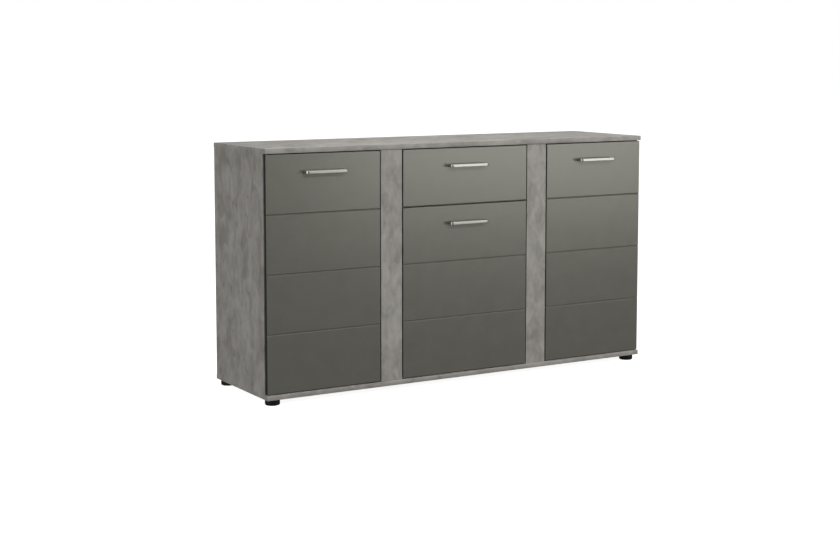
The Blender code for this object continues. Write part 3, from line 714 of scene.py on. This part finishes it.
def point_mesh(name, places, facings):
    """Loose points that each carry the direction they face."""
    mesh = bpy.data.meshes.new(name)
    mesh.from_pydata(places, [], [])
    facing = mesh.attributes.new("facing", "FLOAT_VECTOR", "POINT")
    facing.data.foreach_set("vector", [part for way in facings for part in way])
    return mesh


# Each loose shelf sits between two uprights. It names them and gives the pin's level.
SHELVES = {
    "loose_shelf_left_1": ("side_panel_left", "divider_left"),
    "loose_shelf_left_2": ("side_panel_left", "divider_left"),
    "loose_shelf_centre_1": ("divider_left", "divider_right"),
    "loose_shelf_right_1": ("divider_right", "side_panel_right"),
    "loose_shelf_right_2": ("divider_right", "side_panel_right"),
}
pin_seats = []
for shelf, (west, east) in SHELVES.items():
    shelf_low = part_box(shelf)[0]
    west_low, west_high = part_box(west)
    east_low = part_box(east)[0]
    for y in (west_low.y + ROW_INSET, west_high.y - ROW_INSET):
        level = shelf_low.z - PIN_RADIUS
        pin_seats.append((west, Vector((west_high.x, y, level)), Vector((1, 0, 0))))
        pin_seats.append((east, Vector((east_low.x, y, level)), Vector((-1, 0, 0))))
print("pin seats:", len(pin_seats))

DRILLING = drilling_tree()


def make_upright(piece_name, node, material):
    """A side panel or divider, drilled for the pins of the shelves that it carries."""
    low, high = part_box(node)
    low, high = low.copy(), high.copy()
    low.z -= JOINT_GAP - BUTT_GAP
    high.z += JOINT_GAP - BUTT_GAP
    middle = (low + high) / 2
    board = rounded_slab(
        piece_name,
        low,
        high,
        EDGE_EASE,
        EASE_STEPS,
        lambda edge: all(v.co.y < middle.y for v in edge.verts)
        and edge.verts[0].co.x == edge.verts[1].co.x
        and edge.verts[0].co.z != edge.verts[1].co.z,
    )
    holes = []
    for board_name, place, facing in pin_seats:
        if board_name == node:
            for step in range(-HOLES_EACH_WAY, HOLES_EACH_WAY + 1):
                holes.append((place + Vector((0, 0, step * HOLE_STEP)), facing))
    start = len(board.vertices)
    board.vertices.add(len(holes))
    facing = board.attributes.new("facing", "FLOAT_VECTOR", "POINT")
    for index, (place, way) in enumerate(holes):
        board.vertices[start + index].co = place
        facing.data[start + index].vector = way
    values = {"Material": material, "Hole Radius": PIN_RADIUS, "Hole Depth": HOLE_DEPTH}
    piece = grow(piece_name, DRILLING, values, board, "carcass")
    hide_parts(node)
    print(piece_name, "holes", len(holes), "faces", len(piece.data.polygons))


for side in ("left", "right"):
    panel, divider = f"side_panel_{side}", f"divider_{side}"
    make_upright(f"drilled_side_{side}", panel, UPRIGHT_DECOR)
    make_upright(f"drilled_divider_{side}", divider, INSIDE_GREY)


def make_level_board(piece_name, node, free_face):
    """The top or bottom board: eased round its free face and along its front edges."""
    low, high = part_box(node)
    middle = (low + high) / 2

    def is_free(edge):
        on_face = all((v.co.z - middle.z) * free_face > 0 for v in edge.verts)
        in_front = all(v.co.y < middle.y for v in edge.verts)
        along = edge.verts[0].co.x != edge.verts[1].co.x
        return on_face or (in_front and along)

    board = rounded_slab(piece_name, low, high, EDGE_EASE, EASE_STEPS, is_free)
    piece = bpy.data.objects.new(piece_name, board)
    bpy.context.scene.collection.objects.link(piece)
    piece.data.materials.append(LEVEL_DECOR)
    piece.data.shade_smooth()
    piece.data.set_sharp_from_angle(angle=math.radians(30))
    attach(piece, "carcass")
    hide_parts(node)


make_level_board("top_panel", "top_board", 1)
make_level_board("bottom_panel", "bottom_board", -1)
print("level boards made")

# %% [markdown]
# **Pins, screws, nails and balls.** Small hardware is what makes an opened door believable. Three
# trees draw it all. One makes a head with a cross recess, which serves for screws of every size and
# for the faces of the cam fittings. One makes a low dome, which serves for nails and, as deep as it
# is wide, for the runners' balls. One makes the shelf pins. Each is small and made many times, so
# it has few faces.

# %% Trees for the small hardware
HEAD_SIDES = 20
PIN_SIDES = 16


def head_tree():
    """A round head with a cross recess."""
    lengths = ["Radius", "Crown Radius", "Height", "Cross Length", "Cross Width", "Cross Depth"]
    tree, inputs = start_tree("cross_head", lengths)
    sockets = {"Vertices": HEAD_SIDES, "Depth": inputs["Height"]}
    sockets |= {"Radius Top": inputs["Crown Radius"], "Radius Bottom": inputs["Radius"]}
    head = add_node(tree, "GeometryNodeMeshCone", sockets)
    cut = add_node(tree, "GeometryNodeMeshBoolean", {"Mesh 1": head}, operation="DIFFERENCE")
    top = add_node(tree, "ShaderNodeCombineXYZ", {2: inputs["Height"]})
    long, wide = inputs["Cross Length"], inputs["Cross Width"]
    # The second arm is a little shallower, so that no two cut faces lie in one plane.
    for x, y, share in ((long, wide, 2.0), (wide, long, 1.8)):
        sockets = {0: inputs["Cross Depth"], 1: share}
        depth = add_node(tree, "ShaderNodeMath", sockets, operation="MULTIPLY")
        size = add_node(tree, "ShaderNodeCombineXYZ", {0: x, 1: y, 2: depth})
        arm = add_node(tree, "GeometryNodeMeshCube", {"Size": size})
        raised = add_node(tree, "GeometryNodeTransform", {"Geometry": arm, "Translation": top})
        tree.links.new(raised.outputs[0], cut.inputs["Mesh 2"])
    return end_tree(tree, inputs, at_points(tree, inputs["Geometry"], cut))


def dome_tree():
    """A flattened ball, half of it proud of the point it stands on."""
    tree, inputs = start_tree("dome", ["Radius", "Height"], ["Segments", "Rings"])
    sockets = {"Segments": inputs["Segments"], "Rings": inputs["Rings"], "Radius": 1.0}
    ball = add_node(tree, "GeometryNodeMeshUVSphere", sockets)
    sockets = {0: inputs["Radius"], 1: inputs["Radius"], 2: inputs["Height"]}
    size = add_node(tree, "ShaderNodeCombineXYZ", sockets)
    shaped = add_node(tree, "GeometryNodeTransform", {"Geometry": ball, "Scale": size})
    return end_tree(tree, inputs, at_points(tree, inputs["Geometry"], shaped))


def pin_tree():
    """A shelf pin: a stem in its hole, a collar against the board, and a bearing peg."""
    lengths = ["Stem Radius", "Stem Length", "Collar Radius", "Collar Length", "Peg Length"]
    tree, inputs = start_tree("shelf_pin", lengths)
    # The stem goes in behind the board's face, the collar and the peg stand out from it.
    sections = [
        (inputs["Stem Radius"], inputs["Stem Length"], -0.5),
        (inputs["Collar Radius"], inputs["Collar Length"], 0.5),
        (inputs["Stem Radius"], inputs["Peg Length"], 0.5),
    ]
    shells = add_node(tree, "GeometryNodeJoinGeometry")
    for radius, length, share in sections:
        sockets = {"Vertices": PIN_SIDES, "Radius": radius, "Depth": length}
        barrel = add_node(tree, "GeometryNodeMeshCylinder", sockets)
        middle = add_node(tree, "ShaderNodeMath", {0: length, 1: share}, operation="MULTIPLY")
        shift = add_node(tree, "ShaderNodeCombineXYZ", {2: middle})
        sockets = {"Geometry": barrel, "Translation": shift}
        moved = add_node(tree, "GeometryNodeTransform", sockets)
        tree.links.new(moved.outputs[0], shells.inputs[0])
    return end_tree(tree, inputs, at_points(tree, inputs["Geometry"], shells))


CROSS_HEAD = head_tree()
DOME = dome_tree()
SHELF_PIN = pin_tree()


def stand(name, tree, sizes, material, seats, body):
    """Stands one kind of hardware on a list of (place, facing) seats."""
    mesh = point_mesh(name, [place for place, facing in seats], [facing for place, facing in seats])
    piece = grow(name, tree, {**sizes, "Material": material}, mesh, body)
    print(name, "count", len(seats), "faces", len(piece.data.polygons))


# %% [markdown]
# **Shelf pins.** Each loose shelf rests on four turned steel pins. A pin's stem fills the middle
# hole of its row, its collar stops it at the board, and its peg carries the shelf. The seats were
# read from the shelves above, so the pins always stand right under them.

# %% Shelf pins
PIN = {
    "Stem Radius": PIN_RADIUS - 0.1 * MM,
    "Stem Length": 8 * MM,
    "Collar Radius": 3.6 * MM,
    "Collar Length": 0.6 * MM,
    "Peg Length": 7 * MM,
}
pins = [(place, facing) for board_name, place, facing in pin_seats]
stand("shelf_pins", SHELF_PIN, PIN, NICKEL, pins, "carcass")

# %% [markdown]
# **Hinge hardware.** Each cup is held by two screws through its ears, 48 mm apart, and each mounting
# plate by two screws in its wings, 32 mm apart. Two more screws on the arm adjust the door. All of
# their seats are read from the boxes of the cups and arms, for each body in turn.

# %% Hinge screws
EAR_SCREW_REACH = 24 * MM
WING_SCREW_REACH = 16 * MM
WING_HEIGHT = 3.3 * MM
WING_ROW = 37 * MM
ARM_NOSE = 3.8 * MM
ARM_SCREW_PLACES = (32 * MM, 54 * MM)
EAR_SCREW = {
    "Radius": 4.0 * MM,
    "Crown Radius": 3.2 * MM,
    "Height": 1.0 * MM,
    "Cross Length": 4.2 * MM,
    "Cross Width": 1.0 * MM,
    "Cross Depth": 0.7 * MM,
}
ARM_SCREW = {**EAR_SCREW, "Radius": 3.4 * MM, "Crown Radius": 3.0 * MM, "Cross Length": 3.6 * MM}
CARCASS_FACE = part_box("side_panel_left")[0].y


def hinge_seats(side, inwards):
    """Seats of the screws on a door's cups, on its hinge arms and on their wings."""
    on_cups, on_arms, on_wings = [], [], []
    for height in ("lower", "upper"):
        low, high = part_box(f"hinge_cup_{side}_{height}")
        middle = (low + high) / 2
        for way in (-1, 1):
            place = Vector((middle.x, high.y, middle.z + way * EAR_SCREW_REACH))
            on_cups.append((place, Vector((0, 1, 0))))
        low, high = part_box(f"hinge_arm_{side}_{height}")
        level = (low.z + high.z) / 2
        wall = low.x if inwards > 0 else high.x
        crown = high.x if inwards > 0 else low.x
        for way in (-1, 1):
            place = Vector((wall + inwards * (WING_HEIGHT - JOINT_GAP), CARCASS_FACE + WING_ROW, 0))
            place.z = level + way * WING_SCREW_REACH
            on_wings.append((place, Vector((inwards, 0, 0))))
        # The arm's back slopes down by one nose from its shoulder to its end.
        shoulder = low.y + 3 * ARM_NOSE
        slope = ARM_NOSE / (high.y - shoulder)
        for reach in ARM_SCREW_PLACES:
            y = low.y + reach
            place = Vector((crown - inwards * slope * (y - shoulder), y, level))
            on_arms.append((place, Vector((inwards, slope, 0))))
    return on_cups, on_arms, on_wings


arm_seats, wing_seats = [], []
for side, inwards in (("left", 1), ("centre", 1), ("right", -1)):
    on_cups, on_arms, on_wings = hinge_seats(side, inwards)
    name = f"cup_screws_{side}"
    stand(name, CROSS_HEAD, EAR_SCREW, ZINC, on_cups, f"{side}_door")
    arm_seats += on_arms
    wing_seats += on_wings
stand("arm_screws", CROSS_HEAD, ARM_SCREW, ZINC, arm_seats, "carcass")
stand("plate_screws", CROSS_HEAD, EAR_SCREW, ZINC, wing_seats, "carcass")

# %% [markdown]
# **Handle screws and cam fittings.** Two pan-head screws hold each handle from behind. The boards
# are drawn together by cam fittings, whose zinc faces show inside the cabinet: two near each end of
# every upright, four under the fixed shelf, and two on each drawer side.

# %% Handle screws and cams
HANDLE_SCREW = {
    "Radius": 4.0 * MM,
    "Crown Radius": 3.0 * MM,
    "Height": 1.2 * MM,
    "Cross Length": 4.2 * MM,
    "Cross Width": 1.0 * MM,
    "Cross Depth": 0.8 * MM,
}
for node, body in HANDLES.items():
    low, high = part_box(node)
    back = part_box({"drawer": "drawer_front"}.get(body, "door_left"))[1].y
    level = (low.z + high.z) / 2
    legs = (low.x + BAR_THICKNESS / 2, high.x - BAR_THICKNESS / 2)
    seats = [(Vector((x, back, level)), Vector((0, 1, 0))) for x in legs]
    name = node.replace("handle_", "handle_screws_")
    stand(name, CROSS_HEAD, HANDLE_SCREW, ZINC, seats, body)

CAM = {
    "Radius": 7.5 * MM,
    "Crown Radius": 7.2 * MM,
    "Height": 0.5 * MM,
    "Cross Length": 8.5 * MM,
    "Cross Width": 1.8 * MM,
    "Cross Depth": 0.35 * MM,
}
SMALL_CAM = {**CAM, "Radius": 5 * MM, "Crown Radius": 4.8 * MM, "Cross Length": 6 * MM}
CAM_INSET = 34 * MM
CAM_FRONT = 62 * MM
CAM_REAR = 52 * MM
cam_seats = []
# The inner face of each board looks along +X or along -X.
CAM_BOARDS = {"side_panel_left": 1, "divider_left": -1, "divider_right": 1, "side_panel_right": -1}
for board, way in CAM_BOARDS.items():
    low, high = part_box(board)
    face_x = high.x if way > 0 else low.x
    for y in (low.y + CAM_FRONT, high.y - CAM_REAR):
        for z in (low.z + CAM_INSET, high.z - CAM_INSET):
            cam_seats.append((Vector((face_x, y, z)), Vector((way, 0, 0))))
low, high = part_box("fixed_shelf")
for x in (low.x + CAM_INSET, high.x - CAM_INSET):
    for y in (low.y + CAM_FRONT, high.y - CAM_REAR):
        cam_seats.append((Vector((x, y, low.z)), Vector((0, 0, -1))))
stand("cam_fittings", CROSS_HEAD, CAM, ZINC, cam_seats, "carcass")

DRAWER_CAM_INSET = 24 * MM
DRAWER_CAM_RISE = 26 * MM
drawer_seats = []
for side, way in (("left", 1), ("right", -1)):
    low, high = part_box(f"drawer_side_{side}")
    face_x = high.x if way > 0 else low.x
    for z in (low.z + DRAWER_CAM_RISE, high.z - DRAWER_CAM_RISE):
        place = Vector((face_x, low.y + DRAWER_CAM_INSET, z))
        drawer_seats.append((place, Vector((way, 0, 0))))
stand("drawer_cams", CROSS_HEAD, SMALL_CAM, ZINC, drawer_seats, "drawer")

# %% [markdown]
# **Runner balls and screws.** A full-extension runner is three nested rails that roll on rows of
# steel balls. One pair of rows runs between the outer and middle rails and sits towards the back,
# the other runs between the middle and inner rails and sits towards the front, so that both pairs
# stay between their rails when the drawer is pulled right out. The balls move with the middle rail.

# %% Runner balls and screws
BALL_RADIUS = 1.3 * MM
BALL_STEP = 11 * MM
BALLS = 12
RAIL_WALL = 1.2 * MM
SHEET_WALL = 1.2 * MM
RUNNER_SCREW = {
    "Radius": 2.8 * MM,
    "Crown Radius": 2.2 * MM,
    "Height": 0.6 * MM,
    "Cross Length": 3.0 * MM,
    "Cross Width": 0.8 * MM,
    "Cross Depth": 0.4 * MM,
}
RUNNER_SCREW_PLACES = (37 * MM, 165 * MM, 293 * MM)
BALL = {"Radius": BALL_RADIUS, "Height": BALL_RADIUS, "Segments": 10, "Rings": 6}
web_seats, side_seats = [], []
for side, way in (("left", 1), ("right", -1)):
    outer_low, outer_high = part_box(f"runner_outer_{side}")
    middle_low, middle_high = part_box(f"runner_middle_{side}")
    inner_low, inner_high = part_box(f"runner_inner_{side}")
    level = (middle_low.z + middle_high.z) / 2
    depth = (middle_low.x + middle_high.x) / 2
    wide = (outer_high.z - RAIL_WALL - level + middle_high.z - level) / 2
    narrow = (middle_high.z - RAIL_WALL - level + inner_high.z - level) / 2
    places = []
    for index in range(BALLS):
        for sign in (-1, 1):
            rear = middle_high.y - BALL_STEP * (index + 1)
            front = middle_low.y + BALL_STEP * (index + 1)
            places.append((Vector((depth, rear, level + sign * wide)), Vector((0, 0, 1))))
            places.append((Vector((depth, front, level + sign * narrow)), Vector((0, 0, 1))))
    stand(f"runner_balls_{side}", DOME, BALL, NICKEL, places, f"runner_middle_{side}")
    outer_wall = outer_low.x + SHEET_WALL if way > 0 else outer_high.x - SHEET_WALL
    inner_wall = inner_high.x - SHEET_WALL if way > 0 else inner_low.x + SHEET_WALL
    for reach in RUNNER_SCREW_PLACES:
        y = outer_low.y + reach
        web_seats.append((Vector((outer_wall, y, level)), Vector((way, 0, 0))))
        side_seats.append((Vector((inner_wall, y, level)), Vector((-way, 0, 0))))
stand("outer_rail_screws", CROSS_HEAD, RUNNER_SCREW, NICKEL, web_seats, "carcass")
stand("inner_rail_screws", CROSS_HEAD, RUNNER_SCREW, NICKEL, side_seats, "drawer")

# %% [markdown]
# **The back.** Three hardboard panels are nailed to the rear edges of the uprights. The panels are
# drawn a little thinner than their solids, to leave room for the nails' flat domes.

# %% Back panels and nails
NAIL_HEIGHT = 0.5 * MM
NAIL_RADIUS = 2.2 * MM
NAIL_INSET = 24 * MM
NAIL_STEP = 90 * MM
NAIL_EDGE = 5 * MM
PANEL_EASE = 0.3 * MM
nail_seats = []
for side in ("left", "centre", "right"):
    node = f"back_panel_{side}"
    low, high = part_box(node)
    low, high = low.copy(), high.copy()
    low.y -= JOINT_GAP - BUTT_GAP
    high.y -= NAIL_HEIGHT + BUTT_GAP
    sheet = rounded_slab(f"hardboard_{side}", low, high, PANEL_EASE, 1, lambda edge: True)
    piece = bpy.data.objects.new(f"hardboard_{side}", sheet)
    bpy.context.scene.collection.objects.link(piece)
    sheet.materials.append(BACK_HARDBOARD)
    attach(piece, "carcass")
    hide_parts(node)
    count = int((high.z - low.z - 2 * NAIL_INSET) / NAIL_STEP) + 1
    step = (high.z - low.z - 2 * NAIL_INSET) / (count - 1)
    for x in (low.x + NAIL_EDGE, high.x - NAIL_EDGE):
        for index in range(count):
            place = Vector((x, high.y, low.z + NAIL_INSET + index * step))
            nail_seats.append((place, Vector((0, 1, 0))))
NAIL = {"Radius": NAIL_RADIUS, "Height": NAIL_HEIGHT, "Segments": 10, "Rings": 6}
stand("back_nails", DOME, NAIL, ZINC, nail_seats, "carcass")

# %% [markdown]
# **The feet.** Each foot is a low moulded drum: a thin flange against the board, straight walls with
# a parting line, and a rounded rim, hollow underneath with its screw in the middle. Its wall is one
# profile of arcs and lines, spun round its axis.

# %% The moulded feet
FLANGE_HEIGHT = 1.6 * MM
WALL_INSET = 0.7 * MM
RIM_ROUND = 4.5 * MM
PARTING = 0.25 * MM
HOLLOW_RADIUS = 15 * MM
HOLLOW_DEPTH = 7 * MM
HOLLOW_ROUND = 1 * MM
FLANGE_EASE = 0.3 * MM
FOOT_STEPS = 64
RIM_STEPS = 6
LIP_STEPS = 3
WELD = 0.01 * MM


def arc(centre, radius, start, end, steps):
    """Points along an arc in the plane of radius and height."""
    turns = [math.radians(start + (end - start) * k / steps) for k in range(steps + 1)]
    return [(centre[0] + radius * math.cos(a), centre[1] + radius * math.sin(a)) for a in turns]


def foot_profile(radius, height):
    """From the middle of the top face, out and down the wall, to the middle of the hollow."""
    wall = radius - WALL_INSET
    seam = height / 2
    flange_foot = height - FLANGE_HEIGHT
    lip = HOLLOW_RADIUS + HOLLOW_ROUND
    points = [(0.0, height), (radius - FLANGE_EASE, height), (radius, height - FLANGE_EASE)]
    points += [(radius, flange_foot), (wall, flange_foot - FLANGE_EASE)]
    points += [(wall, seam + PARTING), (wall + PARTING, seam), (wall, seam - PARTING)]
    points += arc((wall - RIM_ROUND, RIM_ROUND), RIM_ROUND, 0, -90, RIM_STEPS)
    points += arc((lip, HOLLOW_ROUND), HOLLOW_ROUND, -90, -180, LIP_STEPS)
    points += [(HOLLOW_RADIUS, HOLLOW_DEPTH), (0.0, HOLLOW_DEPTH)]
    return points


def spun(name, profile, centre):
    """A profile spun round a vertical axis into a closed shape."""
    shape = bmesh.new()
    verts = [shape.verts.new((centre.x + r, centre.y, z)) for r, z in profile]
    edges = [shape.edges.new(pair) for pair in zip(verts, verts[1:])]
    bmesh.ops.spin(
        shape,
        geom=verts + edges,
        cent=(centre.x, centre.y, 0),
        axis=(0, 0, 1),
        angle=math.tau,
        steps=FOOT_STEPS,
        use_merge=True,
    )
    bmesh.ops.remove_doubles(shape, verts=shape.verts, dist=WELD)
    bmesh.ops.recalc_face_normals(shape, faces=shape.faces)
    mesh = bpy.data.meshes.new(name)
    shape.to_mesh(mesh)
    shape.free()
    mesh.shade_smooth()
    mesh.set_sharp_from_angle(angle=math.radians(28))
    return mesh


foot_seats = []
for node in sorted(name for name in nodes if name.startswith("foot")):
    low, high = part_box(node)
    middle = (low + high) / 2
    outline = foot_profile((high.x - low.x) / 2, high.z + JOINT_GAP - BUTT_GAP)
    piece = bpy.data.objects.new(node.replace("foot", "drum_foot"), spun(node, outline, middle))
    bpy.context.scene.collection.objects.link(piece)
    piece.data.materials.append(BLACK_PLASTIC)
    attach(piece, "carcass")
    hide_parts(node)
    foot_seats.append((Vector((middle.x, middle.y, HOLLOW_DEPTH)), Vector((0, 0, -1))))
stand("foot_screws", CROSS_HEAD, HANDLE_SCREW, ZINC, foot_seats, "carcass")

# %% [markdown]
# **The studio.** The cabinet stands on a plain pale floor among four soft boxes. The mirror box
# stands to the right, where the satin fronts mirror it to the eye and take their glow from it. The
# key box lights the fronts from above the eye, the top box the top board, the left box the near
# side. The world adds light from above and little from the sides, and the eye sees it plain white.
# The floor glows by itself, so no hard shadow falls on it, and sends no light back up.

# %% Lights, world and floor
# Each box: its place, the point it faces, its width and height, and its power in watts.
SOFTBOXES = {
    "mirror_box": ((2.64, -3.83, 0.74), (0.0, -0.19, 0.5), (2.4, 1.0), 25.8),
    "key_box": ((0.0, -4.09, 2.75), (0.0, -0.19, 0.5), (0.7, 0.4), 62.0),
    "top_box": ((0.2, 0.5, 2.4), (0.0, 0.1, 0.8), (2.4, 1.0), 17.0),
    "left_box": ((-4.0, -0.6, 0.7), (-0.7, 0.0, 0.4), (2.0, 1.2), 32.0),
}
SKY_HIGH = 0.52
SKY_LEVEL = 0.1
SKY_LOW = 0.13
FLOOR_REACH = 30.0

for name, (place, aim, size, watts) in SOFTBOXES.items():
    lamp = bpy.data.lights.new(name, "AREA")
    lamp.shape = "RECTANGLE"
    lamp.size, lamp.size_y = size
    lamp.energy = watts
    box = bpy.data.objects.new(name, lamp)
    bpy.context.scene.collection.objects.link(box)
    box.location = place
    box.rotation_euler = (Vector(aim) - Vector(place)).to_track_quat("-Z", "Y").to_euler()

studio = bpy.data.worlds.new("studio")
bpy.context.scene.world = studio
studio.use_nodes = True
sky = studio.node_tree
sky.nodes.clear()
direction = add_node(sky, "ShaderNodeTexCoord").outputs["Generated"]
height = add_node(sky, "ShaderNodeSeparateXYZ", {0: direction}).outputs[2]
sockets = {0: height, 1: 0.0, 2: 0.6, 3: SKY_LEVEL, 4: SKY_HIGH}
above = add_node(sky, "ShaderNodeMapRange", sockets)
sockets = {0: height, 1: -0.3, 2: 0.0, 3: SKY_LOW, 4: SKY_LEVEL}
below = add_node(sky, "ShaderNodeMapRange", sockets)
is_above = add_node(sky, "ShaderNodeMath", {0: height, 1: 0.0}, operation="GREATER_THAN")
glow = add_node(sky, "ShaderNodeMix", {0: is_above, 2: below, 3: above})
lit = add_node(sky, "ShaderNodeBackground", {"Strength": glow})
seen = add_node(sky, "ShaderNodeBackground", {"Color": linear("ffffff")})
is_seen = add_node(sky, "ShaderNodeLightPath").outputs["Is Camera Ray"]
shown = add_node(sky, "ShaderNodeMixShader", {0: is_seen, 1: lit, 2: seen})
add_node(sky, "ShaderNodeOutputWorld", {"Surface": shown})

reach = FLOOR_REACH
corners = [(-reach, -reach, 0), (reach, -reach, 0), (reach, reach, 0), (-reach, reach, 0)]
floor_mesh = bpy.data.meshes.new("studio_floor")
floor_mesh.from_pydata(corners, [], [(0, 1, 2, 3)])
floor = bpy.data.objects.new("studio_floor", floor_mesh)
bpy.context.scene.collection.objects.link(floor)
floor_paint, _, floor_shader = new_material("matt_floor_paint")
floor_shader.inputs["Base Color"].default_value = linear("e0e0e0")
floor_shader.inputs["Roughness"].default_value = 0.9
floor_shader.inputs["Emission Color"].default_value = linear("ffffff")
floor_shader.inputs["Emission Strength"].default_value = 0.9
floor_mesh.materials.append(floor_paint)
floor.visible_diffuse = False
floor.visible_glossy = False
bpy.context.scene.view_settings.view_transform = "Standard"
print("boxes:", len(SOFTBOXES))
